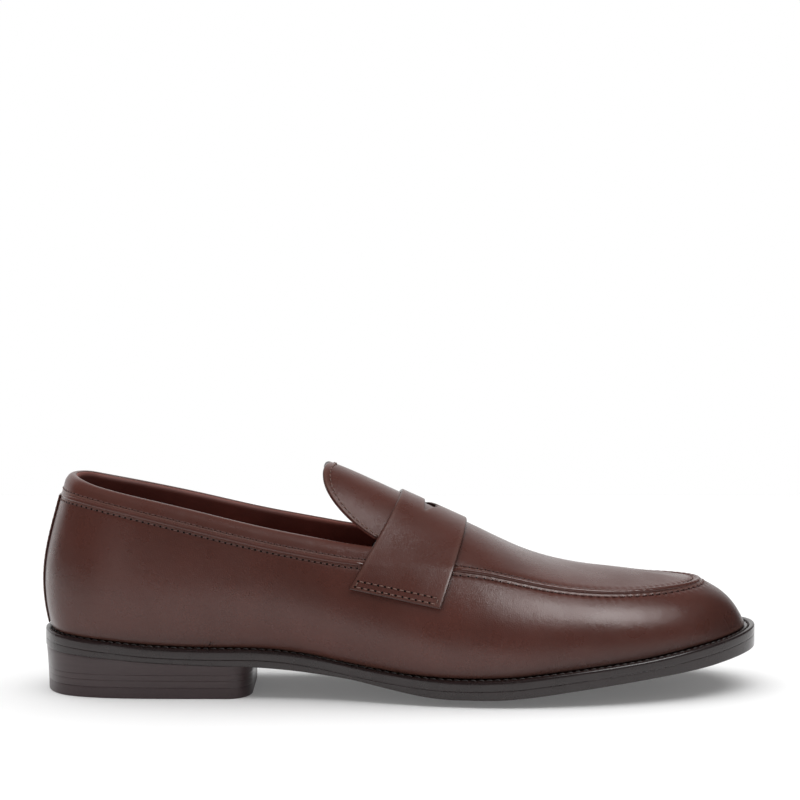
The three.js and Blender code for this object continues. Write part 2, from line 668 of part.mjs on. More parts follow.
// Plan that the heel's layers are cut to: straight across the front, with its corners cut off
const CORNER = { deep: 8, outer: 33, inner: 21 };
const WIDE = 60;
const cornerX = HEEL_FRONT - CORNER.deep;
const heelPlan = toSolid(prism([[-WIDE, -WIDE], [cornerX, -WIDE], [cornerX, -CORNER.outer],
  [HEEL_FRONT, -CORNER.inner], [HEEL_FRONT, CORNER.inner], [cornerX, CORNER.outer], [cornerX, WIDE],
  [-WIDE, WIDE]], -WIDE, WIDE));
const nailTop = TOP_PIECE_THICK + LIFT_THICK;
// How far each layer's lower and upper edge lie inside the outline of the sole
const TAPER = { topPiece: [1.2, 1.1], liftOne: [1.05, 1], liftTwo: [0.95, 0.9], seat: [0.85, 0.7] };

function cylinder(x, y, radius, low, high) {
  const geometry = new THREE.CylinderGeometry(radius, radius, high - low, 12);
  geometry.rotateX(Math.PI / 2);
  geometry.translate(x, y, (low + high) / 2);
  return welded(geometry);
}

const THROUGH = 3;                           // the nail holes' cutters stick out this far
const nailHole = (spot) => toSolid(cylinder(...spot, NAIL_RADIUS + GAP, -THROUGH, nailTop + THROUGH));
let nailHoles = nailHole(NAIL_SPOTS[0]);
for (const spot of NAIL_SPOTS.slice(1)) {
  nailHoles = nailHoles.add(nailHole(spot));
}

// One layer of the heel; the stack narrows slightly towards the ground
function heelLayer(low, high, lowInset, highInset) {
  const layer = sheetSolid(56, 2, (a, b, side) => {
    const point = inPlan(a * AROUND, side === 0 ? highInset : lowInset, b);
    point.z = (side === 0 ? high : low)(point.x, point.y);
    return point;
  }, { wrapped: true, zipped: true });
  return toSolid(layer).intersect(heelPlan);
}

const flat = (height) => () => height;
const liftOne = TOP_PIECE_THICK + GAP;
const liftTwo = liftOne + LIFT_THICK + GAP;
const seat = liftTwo + LIFT_THICK - 0.3;
const topPiece = heelLayer(flat(0), flat(TOP_PIECE_THICK), ...TAPER.topPiece);
add('heel_top_piece', toGeometry(topPiece.subtract(nailHoles)), 0x15110f, 0.6);
add('heel_lift_1', toGeometry(heelLayer(flat(liftOne), flat(liftOne + LIFT_THICK), ...TAPER.liftOne)
  .subtract(nailHoles)), SOLE_EDGE, 0.4);
add('heel_lift_2', toGeometry(heelLayer(flat(liftTwo), flat(seat - GAP), ...TAPER.liftTwo)),
  SOLE_EDGE, 0.4);
add('heel_seat_lift', toGeometry(heelLayer(flat(seat), (x, y) => soleBottom(x, y) - GAP, ...TAPER.seat)),
  SOLE_EDGE, 0.4);
NAIL_SPOTS.forEach((spot, i) => {
  add(`heel_nail_${i + 1}`, cylinder(...spot, NAIL_RADIUS, 0.3, nailTop), 0xb08d4f, 0.35, 0.9);
});

// ---------------------------------------------------------------- origin
const box = new THREE.Box3().setFromObject(group);
group.position.set(-(box.min.x + box.max.x) / 2, -(box.min.y + box.max.y) / 2, -box.min.z);

export default group;
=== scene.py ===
import functools
import math

import bmesh
import bpy
import numpy as np
from mathutils import Matrix, Vector


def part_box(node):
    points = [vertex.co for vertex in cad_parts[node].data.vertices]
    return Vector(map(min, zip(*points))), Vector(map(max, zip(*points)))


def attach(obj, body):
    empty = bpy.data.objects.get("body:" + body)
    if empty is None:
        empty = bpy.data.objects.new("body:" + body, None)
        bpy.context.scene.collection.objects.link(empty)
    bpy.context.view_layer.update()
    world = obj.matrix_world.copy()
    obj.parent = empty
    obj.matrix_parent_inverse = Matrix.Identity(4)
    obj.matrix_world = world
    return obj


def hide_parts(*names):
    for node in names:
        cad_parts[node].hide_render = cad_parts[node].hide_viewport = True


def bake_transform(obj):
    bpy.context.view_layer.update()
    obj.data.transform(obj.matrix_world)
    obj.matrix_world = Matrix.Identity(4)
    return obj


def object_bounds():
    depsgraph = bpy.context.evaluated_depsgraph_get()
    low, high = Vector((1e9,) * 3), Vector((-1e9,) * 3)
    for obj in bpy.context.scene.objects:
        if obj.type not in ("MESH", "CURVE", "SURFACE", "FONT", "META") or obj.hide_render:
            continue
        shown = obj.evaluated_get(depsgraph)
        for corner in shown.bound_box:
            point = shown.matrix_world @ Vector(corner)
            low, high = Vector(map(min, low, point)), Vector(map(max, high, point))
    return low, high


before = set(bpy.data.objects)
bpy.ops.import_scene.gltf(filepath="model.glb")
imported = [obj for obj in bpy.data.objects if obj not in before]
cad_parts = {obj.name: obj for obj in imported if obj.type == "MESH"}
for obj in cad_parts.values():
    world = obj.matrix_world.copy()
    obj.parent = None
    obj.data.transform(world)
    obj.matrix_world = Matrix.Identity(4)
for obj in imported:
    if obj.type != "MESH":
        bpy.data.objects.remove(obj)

CAD_LOW, CAD_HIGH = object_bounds()
MM = 0.001

# ---------------------------------------------------------------- driving dimensions
GAP = 0.3                         # clearance between the CAD pieces
LEATHER = 1.3                     # outer leather
STIFFENER_ROOM = 1.8              # stiffener and its clearances, between leather and lining
LINING = 1.0
COLLAR_WIDTH = (11.0, 9.6)        # from the collar seam to the topline, inner and outer side
RIDGE_RADIUS = 1.15
RIDGE_SUNK = 0.35
WELT_THICK = 4.2
WELT_WIDTH = 13.0
INSOLE_THICK = 2.2
SOCK_THICK = 1.2
TOP_PIECE_THICK = 4.6
LIFT_THICK = 2.6
HEEL_FRONT = 89.0
STRAP_THICK = 1.3
SEAM_PITCH = 2.5                  # stitches of the collar, the tongue and the strap
APRON_PITCH = 3.3
WELT_PITCH = 3.3

# ---------------------------------------------------------------- master curves
# The same curves as the CAD model's. One row per spoke, from the back of the heel to the toe:
# outer sole x, y | inner sole x, y | seam x, half width, z | crest x, z |
# wall flare at the sole, wall lean at the seam, top lean at the seam (degrees) | inset of the wall
SPOKES = (
    (0.8, 0, 0.8, 0, 7.9, 0, 81.6, 48, 106, 14, 15, 12, 2.4),
    (3.4, -14, 3.4, 14, 10.4, 12.8, 81.6, 51, 106, 13, 14, 24, 2.4),
    (12, -25.5, 12, 25, 18.2, 23.0, 80.8, 58, 105.5, 11, 12, 41, 2.6),
    (32, -32, 32, 31, 36, 29.0, 77.0, 69, 104, 11, 12, 43, 3.0),
    (60, -33.5, 60, 32, 62, 31.5, 70.8, 83, 102, 13, 12, 38, 3.2),
    (88, -34, 88, 29.5, 90, 33.6, 64.2, 101, 99, 20, 13, 38, 3.0),
    (114, -36.5, 114, 28.5, 113, 35.0, 59.7, 119, 95.0, 28, 18, 38, 2.6),
    (138, -42, 138, 32, 135, 35.6, 56.4, 137, 87.6, 26, 26, 41, 2.8),
    (163, -48.5, 163, 40, 158, 35.6, 55.2, 157, 78.4, 18, 34, 46, 3.6),
    (190, -52, 188, 48, 183, 35.0, 52.8, 180, 67.8, 10, 42, 56, 4.6),
    (217, -50.3, 214, 52, 207, 34.5, 47.7, 201, 57.5, 6, 47, 63, 5.2),
    (243, -45, 241, 51.5, 230, 32.5, 44.5, 219, 52.1, 5, 50, 70, 5.2),
    (266, -36, 264, 45.5, 249.5, 27.0, 43.7, 234, 50.2, 2, 54, 76, 5.0),
    (284.5, -24, 284.5, 35, 264, 19.0, 44.0, 244, 49.1, -7, 60, 79, 4.6),
    (296.5, -9.5, 296.5, 21.5, 273, 10.0, 44.5, 249, 48.6, -18, 64, 80, 4.2),
    (300, 6, 300, 6, 276, 0, 44.7, 250.5, 48.4, -22, 66, 80, 4.2),
)
TOE = len(SPOKES) - 1
AROUND = 2 * TOE

# Heights of the sole's edge along the length: (x, z)
WELT_TOP = (
    (0, 26.0), (27, 23.4), (47, 21.6), (68, 20.7), (89, 20.6), (102, 19.8), (115, 18), (130, 15.2),
    (145, 12.9), (160, 11.2), (175, 10.7), (195, 11.4), (210, 13), (225, 14.8), (240, 16.5),
    (255, 18.3), (270, 20.6), (285, 23.2), (300, 26.6),
)
SOLE_BOTTOM = (
    (0, 18.6), (27, 16.6), (47, 15.1), (68, 14), (89, 13.4), (102, 12.6), (115, 11.3), (130, 9.4),
    (145, 6.4), (160, 3.8), (172, 3), (190, 3.1), (205, 4.4), (220, 6.3), (235, 8.2), (250, 9.9),
    (265, 11.5), (280, 13.4), (300, 17.2),
)
# The forepart is crowned across its width: depth below the edge (x, depth) and half width (x, y)
CROWN = ((95, 0), (120, 0.7), (145, 2.1), (165, 2.9), (215, 3), (250, 2.2), (280, 1), (300, 0.4))
HALF_WIDTH = ((95, 32), (140, 37), (165, 44), (200, 50), (230, 49.5), (255, 43), (275, 33), (300, 20))
CENTRE_LINE = ((0, 0), (190, 0), (240, 1.6), (280, 4), (300, 5))
WALL_LOW_HANDLE = 0.42
WALL_HIGH_HANDLE = 0.38
TOP_HANDLE = 0.36
NEAR_CREST = 1.985                # from this level on, the two sides share one normal
NEAR_SEAM = 0.02                  # and this close to level 1, the wall and the top do


def profile(points):
    """Smooth curve through (x, value) points."""
    xs, ys = np.array(points, float).T
    slopes = np.zeros(len(xs))
    for i in range(len(xs)):
        before, after = max(i - 1, 0), min(i + 1, len(xs) - 1)
        turns = (ys[i] - ys[before]) * (ys[after] - ys[i]) <= 0 and 0 < i < len(xs) - 1
        slopes[i] = 0 if turns else (ys[after] - ys[before]) / (xs[after] - xs[before])

    def curve(x):
        i = np.clip(np.searchsorted(xs, x, side="left") - 1, 0, len(xs) - 2)
        span = xs[i + 1] - xs[i]
        t = np.clip((x - xs[i]) / span, 0, 1)
        back = t - 1
        ends = ys[i] * (1 + 2 * t) * back * back + ys[i + 1] * t * t * (3 - 2 * t)
        return ends + span * (slopes[i] * t * back * back + slopes[i + 1] * t * t * back)

    return curve


def ring(values):
    """Smooth closed curve through one value per spoke."""
    values = np.array(values, float)
    control = values.copy()
    for _ in range(70):
        control = control + values - (np.roll(control, 1) + 4 * control + np.roll(control, -1)) / 6
    count = len(values)

    def curve(s):
        s = np.asarray(s, float)
        i = np.floor(s).astype(int)
        t = s - i
        g = 1 - t
        near = (3 * t**3 - 6 * t**2 + 4) * control[i % count]
        far = (3 * g**3 - 6 * g**2 + 4) * control[(i + 1) % count]
        return (g**3 * control[(i - 1) % count] + near + far + t**3 * control[(i + 2) % count]) / 6

    return curve


def column(outer, inner=None):
    """Ring of one column of SPOKES, with its own rule for the inner half of the loop."""
    inner = inner or outer
    return ring([outer(SPOKES[k]) if k <= TOE else inner(SPOKES[AROUND - k]) for k in range(AROUND)])


centre_line = profile(CENTRE_LINE)
crown_depth = profile(CROWN)
half_width = profile(HALF_WIDTH)
welt_edge = profile(WELT_TOP)
sole_edge = profile(SOLE_BOTTOM)
sole_x = column(lambda r: r[0], lambda r: r[2])
sole_y = column(lambda r: r[1], lambda r: r[3])
seam_x = column(lambda r: r[4])
seam_y = column(lambda r: centre_line(r[4]) - r[5], lambda r: centre_line(r[4]) + r[5])
seam_z, crest_x, crest_z = (column(lambda r, k=k: r[k]) for k in (6, 7, 8))
wall_flare, wall_lean, top_lean = (column(lambda r, k=k: math.radians(r[k])) for k in (9, 10, 11))
wall_inset = column(lambda r: r[12])


def crowned(edge_height, x, y):
    across = np.minimum(1, abs(y - centre_line(x)) / half_width(x))
    return edge_height(x) - crown_depth(x) * (1 - across**2)


def welt_top(x, y):
    return crowned(welt_edge, x, y)


def sole_bottom(x, y):
    return crowned(sole_edge, x, y)


def col(values):
    return np.asarray(values)[..., None]


def length_of(vectors):
    return np.linalg.norm(vectors, axis=-1)


def unit(vectors):
    return vectors / col(np.maximum(length_of(vectors), 1e-12))


def smooth(x, low, high):
    t = np.clip((x - low) / (high - low), 0, 1)
    return t * t * (3 - 2 * t)


def swelling(x, centre, width):
    """A smooth hump of height 1."""
    return np.exp(-(((x - centre) / width) ** 2))


def outward(s):
    """Level direction out of the shoe at spoke s."""
    step = 0.05
    dx = sole_x(s + step) - sole_x(s - step)
    dy = sole_y(s + step) - sole_y(s - step)
    return unit(np.stack([dy, -dx, 0 * dx], -1))


def outline(s, inset):
    """Sole outline moved inwards by an inset, at height 0."""
    s = np.asarray(s, float)
    return np.stack([sole_x(s), sole_y(s), 0 * s], -1) - outward(s) * col(inset)


def bezier(a, b, c, d, t):
    g = 1 - t
    return a * g**3 + b * 3 * g * g * t + c * 3 * g * t * t + d * t**3


def crest_slope(s):
    """Slope of the crest line; at its two ends, where the spokes turn back, the slope beside them."""
    step, beside = 0.02, 0.06
    is_end = abs(crest_x(s + step) - crest_x(s - step)) < 1e-6
    s = np.where(is_end, s + beside, s)
    return (crest_z(s + step) - crest_z(s - step)) / (crest_x(s + step) - crest_x(s - step))


def skin(s, level):
    """Skin of the last: level 0 at the sole, 1 at the seam, 2 at the crest line."""
    s, level = np.broadcast_arrays(np.asarray(s, float), np.asarray(level, float))
    out = outward(s)
    up = np.array([0, 0, 1.0])
    seam = np.stack([seam_x(s), seam_y(s), seam_z(s)], -1)
    foot = outline(s, wall_inset(s))
    foot[..., 2] = welt_top(foot[..., 0], foot[..., 1]) + GAP
    reach = col(length_of(foot - seam))
    flare, lean, over = wall_flare(s), wall_lean(s), top_lean(s)
    low = foot + WALL_LOW_HANDLE * reach * (out * col(np.sin(flare)) + up * col(np.cos(flare)))
    high = seam + WALL_HIGH_HANDLE * reach * (out * col(np.sin(lean)) - up * col(np.cos(lean)))
    wall = bezier(foot, low, high, seam, col(np.clip(level, 0, 1)))
    crest = np.stack([crest_x(s), centre_line(crest_x(s)), crest_z(s)], -1)
    reach = col(length_of(crest - seam))
    low = seam + TOP_HANDLE * reach * (-out * col(np.sin(over)) + up * col(np.cos(over)))
    aside = seam - crest
    aside[..., 2] = 0
    aside = unit(aside)
    aside[..., 2] = aside[..., 0] * crest_slope(s)
    top = bezier(seam, low, crest + TOP_HANDLE * reach * aside, crest, col(np.clip(level - 1, 0, 1)))
    return np.where(col(level <= 1), wall, top)


def raw_normal(s, level):
    low = np.maximum(level - 0.01, np.where(level <= 1, 0, 1))
    high = np.minimum(level + 0.01, np.where(level <= 1, 1, 2))
    along = skin(s + 0.03, level) - skin(s - 0.03, level)
    return unit(np.cross(along, skin(s, high) - skin(s, low)))


def skin_normal(s, level):
    """Outward normal; at the seam and at the crest the two sides share one normal."""
    s, level = np.broadcast_arrays(np.asarray(s, float), np.asarray(level, float))
    own = raw_normal(s, np.minimum(level, NEAR_CREST))
    crest = own + raw_normal(AROUND - s, np.full_like(s, NEAR_CREST))
    seam = raw_normal(s, np.full_like(s, 1 - NEAR_SEAM)) + raw_normal(s, np.full_like(s, 1 + NEAR_SEAM))
    shared = unit(np.where(col(level > NEAR_CREST), crest, seam))
    return np.where(col((level > NEAR_CREST) | (abs(level - 1) < NEAR_SEAM)), shared, own)


# ---------------------------------------------------------------- places on the last
def bisect(like, low, high, is_low, passes=26):
    """Where is_low turns from true to false, between two numbers, for every element of an array."""
    low, high = np.full(np.shape(like), float(low)), np.full(np.shape(like), float(high))
    for _ in range(passes):
        middle = (low + high) / 2
        short = is_low(middle)
        low = np.where(short, middle, low)
        high = np.where(short, high, middle)
    return (low + high) / 2


def tabled(low, high, count, closed=False):
    """Marks a smooth function to be looked up between exact samples of its first argument."""
    def mark(exact):
        xs = np.linspace(low, high, count)

        @functools.lru_cache
        def samples(*settings):
            return exact(xs, *settings)

        def find(x, *settings):
            return np.interp(np.asarray(x) % AROUND if closed else x, xs, samples(*settings))

        return find

    return mark


def below_seam(s, distance):
    """Level a given distance below the seam, on the wall."""
    seam = skin(s, 1)
    return bisect(s, 0.3, 1, lambda level: length_of(skin(s, level) - seam) > distance, 18)


def above_seam(s, distance):
    """Level a given distance above the seam, on the top."""
    seam = skin(s, 1)
    return bisect(s, 1, 1.6, lambda level: length_of(skin(s, level) - seam) < distance, 18)


@tabled(0, AROUND, 901, closed=True)
def foot_level(s, offset):
    """Lowest level at which a layer with this offset clears the welt."""
    def is_low(level):
        point = skin(s, level) + skin_normal(s, level) * offset
        return point[..., 2] < welt_top(point[..., 0], point[..., 1]) + GAP / 2

    return bisect(s, 0, 0.3, is_low, 14)


# A cross plane: its x at height z, and how far it leans back for each unit of height
STRAP_REAR = (149.5, 80.5, 0.6)
STRAP_FRONT = (177.5, 69.0, 0.37)
CROSSED = (4.0, 12.5)             # spokes of the outer side between which these planes lie
TUCKED = 3.0                      # the collar and the apron end this far under the strap's rear edge
STRAP_FOOT = (129.8, 46.3, 0.2)   # rear lower corner: x, z and the lower edge's drop towards the toe
TONGUE_TIP = 120.5                # x of the tongue's tip on the crest line
TONGUE_LOW = 1.26                 # level of its side edges
TONGUE_BULGE = 3.4                # its free edge bows back this far
TONGUE_SWEEP = (19.0, 3.6)        # and sweeps forwards at the sides: reach and power


@tabled(0, 2, 801)
def plane_spoke(level, plane, shift=0.0):
    """Spoke on the outer side where a level meets a cross plane."""
    x, z, lean = plane

    def is_low(s):
        point = skin(s, level)
        return point[..., 0] < x + shift - (z - point[..., 2]) * lean

    return bisect(level, *CROSSED, is_low)


@tabled(0, AROUND, 1201, closed=True)
def collar_top(s):
    """Level of the topline."""
    side = smooth(np.sin(2 * np.pi * s / AROUND), -0.6, 0.6)
    return above_seam(s, COLLAR_WIDTH[0] + (COLLAR_WIDTH[1] - COLLAR_WIDTH[0]) * side)


@tabled(1.1, 2, 451)
def tongue_edge(level, inset):
    """Spoke of the tongue's free edge, from a rounded tip on the crest line down to the topline."""
    t = np.clip((2 - level) / (2 - TONGUE_LOW), 0, 1)
    sweep = TONGUE_SWEEP[0] * t ** TONGUE_SWEEP[1]
    x = TONGUE_TIP + inset - TONGUE_BULGE * np.sin(np.pi * t) + sweep
    return bisect(level, *CROSSED, lambda s: skin(s, level)[..., 0] < x)


def strap_spoke(level, a):
    rear = plane_spoke(level, STRAP_REAR)
    return rear + (plane_spoke(level, STRAP_FRONT) - rear) * a


@tabled(0, 1, 201)
def strap_edge(a):
    """Level of the strap's lower edge, at a share of the way to the front."""
    def is_low(level):
        point = skin(strap_spoke(level, a), level)
        return point[..., 2] < STRAP_FOOT[1] - (point[..., 0] - STRAP_FOOT[0]) * STRAP_FOOT[2]

    return bisect(a, 0.3, 1.2, is_low, 20)


# ---------------------------------------------------------------- from curves to pieces
sole_rim = outline(np.linspace(0, AROUND, 2400), 0)
ORIGIN = np.array([
    CAD_HIGH.x / MM - sole_rim[:, 0].max(),
    CAD_LOW.y / MM - sole_rim[:, 1].min(),
    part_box("heel_top_piece")[0].z / MM,
])
EDGE_STEPS = np.array([1, 3, 6.5, 11, 17, 25, 36]) * 0.06     # grid lines beside a rounded edge
FAR = 1e3


def place_in_frame(points):
    return (np.asarray(points, float) + ORIGIN) * MM


def graded(count, length, ends=(True, True)):
    """Fractions from 0 to 1, closer together near the chosen ends; length is in millimetres."""
    steps = EDGE_STEPS / length
    body = np.linspace(0, 1, count + 1)
    margin = steps[-1] * 1.3
    if ends[0]:
        body = np.concatenate([[0], steps, body[body > margin]])
    if ends[1]:
        body = np.concatenate([body[body < 1 - margin], 1 - steps[::-1], [1]])
    return body


def running(points, axis):
    """Length along one axis of a grid of points, from its start."""
    total = np.cumsum(length_of(np.diff(points, axis=axis)), axis=axis)
    first = np.zeros_like(np.take(total, [0], axis=axis))
    return np.concatenate([first, total], axis=axis)


def edge_distance(points, free):
    """Distance of each grid point from the nearest free edge; free is (start, end) of both axes."""
    nearest = np.full(points.shape[:2], FAR)
    for axis in (0, 1):
        along = running(points, axis)
        if free[2 * axis]:
            nearest = np.minimum(nearest, along)
        if free[2 * axis + 1]:
            nearest = np.minimum(nearest, np.take(along, [-1], axis=axis) - along)
    return nearest


class Shape:
    """Points, faces and per-point values of one piece, gathered from several parts."""

    def __init__(self):
        self.points = []
        self.faces = []
        self.values = {}
        self.finishes = []
        self.count = 0

    def add(self, points, *faces, finish=0, **values):
        points = np.asarray(points, float).reshape(-1, 3)
        self.points.append(points)
        for group in faces:
            self.faces.extend((np.asarray(group) + self.count).tolist())
            self.finishes.extend([finish] * len(group))
        for name in set(self.values) | set(values):
            kept = self.values.setdefault(name, [np.zeros(self.count)])
            kept.append(np.broadcast_to(np.ravel(values.get(name, 0.0)), (len(points),)))
        self.count += len(points)
        return self

    def grid(self, points, flip=False, **values):
        index = np.arange(points[..., 0].size).reshape(points.shape[:2])
        corners = [index[:-1, :-1], index[1:, :-1], index[1:, 1:], index[:-1, 1:]]
        return self.add(points, np.stack(corners[::-1] if flip else corners, -1).reshape(-1, 4), **values)


def wrapped(rings):
    """A skin through rings of points."""
    return Shape().grid(np.stack(rings, 1))


def layered(place, normal, top, bottom, free, shape=None, relief=0.0, nearest=FAR, shade=0.0,
            rubbed=1.0, cut_width=0.32):
    """Leather with rounded edges, between two offsets from a grid of places."""
    shape = shape or Shape()
    half = np.maximum((top - bottom) / 2, 1e-6)
    distance = np.minimum(edge_distance(place, free), nearest)
    share = np.clip(distance / half, 0, 1)
    sink = half * (1 - np.sqrt(np.maximum(0, 1 - (1 - share) ** 2)))
    values = {
        "edge": rubbed * swelling(distance, 0.9, 0.7),
        "tone": np.maximum(swelling(distance, 0, cut_width), shade),
    }
    shape.grid(place + normal * col(top - sink + relief * share), **values)
    return shape.grid(place + normal * col(bottom + sink), flip=True, **values)


def on_last(s, level, top, bottom, free=(True,) * 4):
    return layered(skin(s, level), skin_normal(s, level), top, bottom, free)


def across_crest(lowest, spoke_at, sides, shares):
    """Grid of spokes and levels over the crest, from the inner side (side 1) to the outer (side -1)."""
    side, share = np.meshgrid(sides, shares, indexing="ij")
    level = 2 + (lowest(share) - 2) * abs(side)
    s = spoke_at(level, share)
    return np.where(side < 0, s, AROUND - s), level


def make(name, shape, materials, weld=2e-6):
    """The piece as a Blender object, in metres in the frame."""
    points = place_in_frame(np.concatenate(shape.points))
    mesh = bpy.data.meshes.new(name)
    mesh.from_pydata(points.tolist(), [], shape.faces)
    rest = mesh.attributes.new("rest", "FLOAT_VECTOR", "POINT")
    rest.data.foreach_set("vector", points.astype(np.float32).ravel())
    for key in ("edge", "tone"):
        values = np.concatenate(shape.values[key]) if key in shape.values else np.zeros(len(points))
        kept = mesh.attributes.new(key, "FLOAT", "POINT")
        kept.data.foreach_set("value", values.astype(np.float32))
    for material in materials:
        mesh.materials.append(material)
    mesh.polygons.foreach_set("material_index", shape.finishes)
    if weld:
        bm = bmesh.new()
        bm.from_mesh(mesh)
        bmesh.ops.remove_doubles(bm, verts=bm.verts, dist=weld)
        bmesh.ops.recalc_face_normals(bm, faces=bm.faces)
        bm.to_mesh(mesh)
        bm.free()
    mesh.shade_smooth()
    piece = bpy.data.objects.new(name, mesh)
    bpy.context.scene.collection.objects.link(piece)
    return piece


def bends(piece, *nodes):
    """Bakes the piece's placement into its mesh and hides the CAD nodes that it stands for."""
    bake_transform(piece)
    if nodes:
        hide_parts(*nodes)


def bends_with_tongue(piece, *nodes):
    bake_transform(piece)
    if nodes:
        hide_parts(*nodes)


def rides(piece, body, *nodes):
    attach(piece, body)
    if nodes:
        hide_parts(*nodes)


# ---------------------------------------------------------------- thread
BEAD_ALONG = np.array([-1.0, -0.82, -0.45, 0, 0.45, 0.82, 1.0])
BEAD_WIDTHS = np.array([0.25, 0.8, 1, 1.05, 1, 0.8, 0.25])
BEAD_HEIGHTS = np.array([-0.55, -0.05, 0.75, 1, 0.75, -0.05, -0.55])
BEAD_SIDES = 7
HOLE_SIDES = 8
HOLE_RISE = 0.06
HOLE_DEPTH = 0.25


class Path:
    """Points and normals along a line on the shoe, to be walked in equal steps."""

    def __init__(self, points, normals):
        self.lines = points, normals
        self.along = running(points[:, None, :], 0)[:, 0]

    def at(self, distance):
        point, normal = (
            np.stack([np.interp(distance, self.along, line[:, k]) for k in range(3)], -1)
            for line in self.lines
        )
        return point, unit(normal)


def last_path(s, level, offset=0.0):
    normal = skin_normal(s, level)
    return Path(skin(s, level) + normal * offset, normal)


def circles(first, second, sides, closed=False):
    """Unit circles in the planes of two arrays of directions."""
    angles = np.linspace(0, 2 * np.pi, sides, endpoint=closed)[:, None]
    return first[..., None, :] * np.cos(angles) + second[..., None, :] * np.sin(angles)


def repeated(faces, size, copies):
    """The faces of one small mesh with this many points, once for each copy."""
    faces = np.array(faces)
    return (faces[None] + (np.arange(copies) * size)[:, None, None]).reshape(-1, faces.shape[1])


def stitch_row(shape, path, pitch, radius=0.24, share=0.72, lift=0.16, slant=0.0):
    """A row of stitches, each a bead of thread that dips into a needle hole at both ends."""
    start, end = pitch / 2, path.along[-1] - pitch / 2
    count = max(1, int(round((end - start) / pitch)))
    centres = np.linspace(start, end, count + 1)
    place, normal = path.at(centres[:, None] + BEAD_ALONG[None, :] * pitch * share / 2)
    aside = unit(np.cross(unit(np.gradient(place, axis=1)), normal))
    place = place + normal * col(BEAD_HEIGHTS * lift) + aside * col(BEAD_ALONG * slant)
    around = circles(aside, normal, BEAD_SIDES) * (radius * BEAD_WIDTHS)[None, :, None, None]
    sides = np.arange(BEAD_SIDES)
    last = (len(BEAD_ALONG) - 1) * BEAD_SIDES
    walls = [
        [i + k, i + (k + 1) % BEAD_SIDES, i + BEAD_SIDES + (k + 1) % BEAD_SIDES, i + BEAD_SIDES + k]
        for i in range(0, last, BEAD_SIDES) for k in sides
    ]
    size = last + BEAD_SIDES
    ends = repeated([sides[::-1], last + sides], size, len(centres))
    shape.add(place[:, :, None, :] + around, repeated(walls, size, len(centres)), ends)
    return centres


def needle_holes(shape, path, distances, radius):
    """Painted shade of the needle holes: small dark pits, each a shallow lens set into the leather."""
    place, normal = path.at(distances)
    tangent = unit(path.at(distances + 0.1)[0] - place)
    rim = place[:, None] + radius * circles(tangent, np.cross(tangent, normal), HOLE_SIDES)
    above, below = place + normal * HOLE_RISE, place - normal * HOLE_DEPTH
    fan = []
    for k in range(HOLE_SIDES):
        after = (k + 1) % HOLE_SIDES
        fan += [[k, after, HOLE_SIDES], [after, k, HOLE_SIDES + 1]]
    faces = repeated(fan, HOLE_SIDES + 2, len(distances))
    shape.add(np.concatenate([rim, above[:, None], below[:, None]], 1), faces, finish=1)


def seam_stitches(shape, path, pitch, hole=0.34, **options):
    """A row of stitches with needle holes of the given radius between them."""
    centres = stitch_row(shape, path, pitch, **options)
    if hole:
        step = centres[1] - centres[0]
        needle_holes(shape, path, np.append(centres - step / 2, centres[-1] + step / 2), hole)


# ---------------------------------------------------------------- materials
class Nodes:
    """Short way to write a material's node tree."""

    def __init__(self, name):
        self.material = bpy.data.materials.new(name)
        self.material.use_nodes = True
        self.tree = self.material.node_tree
        self.shader = self.tree.nodes["Principled BSDF"]

    def put(self, socket, value):
        if isinstance(value, bpy.types.NodeSocket):
            self.tree.links.new(value, socket)
        else:
            socket.default_value = value

    def node(self, kind, inputs=(), out=0, **settings):
        made = self.tree.nodes.new("ShaderNode" + kind)
        for key, value in settings.items():
            setattr(made, key, value)
        for key, value in dict(inputs).items():
            self.put(made.inputs[key], value)
        return made.outputs[out]

    def surface(self, **values):
        """Sets the shader's inputs and gives the material."""
        for key, value in values.items():
            self.put(self.shader.inputs[key.replace("_", " ")], value)
        return self.material

    def place(self, carried=False):
        """Rest position in metres: stored on the made pieces, the object's own on a carried CAD node."""
        if carried:
            return self.node("TexCoord", out="Object")
        return self.node("Attribute", out="Vector", attribute_name="rest")

    def value(self, name):
        return self.node("Attribute", out="Fac", attribute_name=name)

    def noise(self, place, scale, detail=3.0, rough=0.55, stretch=(1, 1, 1)):
        if stretch != (1, 1, 1):
            place = self.node("Mapping", {"Vector": place, "Scale": stretch})
        inputs = {"Vector": place, "Scale": scale, "Detail": detail, "Roughness": rough}
        return self.node("TexNoise", inputs, out="Fac")

    def cells(self, place, scale, feature="DISTANCE_TO_EDGE"):
        return self.node("TexVoronoi", {"Vector": place, "Scale": scale}, out="Distance", feature=feature)

    def span(self, value, low, high, to_low=0.0, to_high=1.0):
        inputs = {"Value": value, 1: low, 2: high, 3: to_low, 4: to_high}
        return self.node("MapRange", inputs, clamp=True)

    def part(self, value, share):
        return self.node("Math", {0: value, 1: share}, operation="MULTIPLY")

    def mix(self, factor, a, b):
        made = self.tree.nodes.new("ShaderNodeMix")
        made.data_type = "RGBA"
        for key, value in (("Factor", factor), ("A", a), ("B", b)):
            self.put(made.inputs[key], value)
        return made.outputs["Result"]

    def bump(self, height, strength, distance, normal=None):
        inputs = {"Height": height, "Strength": strength, "Distance": distance}
        if normal is not None:
            inputs["Normal"] = normal
        return self.node("Bump", inputs)


def rgb(red, green, blue):
    return (red, green, blue, 1.0)


def times(share, colour):
    return tuple(share * c for c in colour[:3]) + (1.0,)


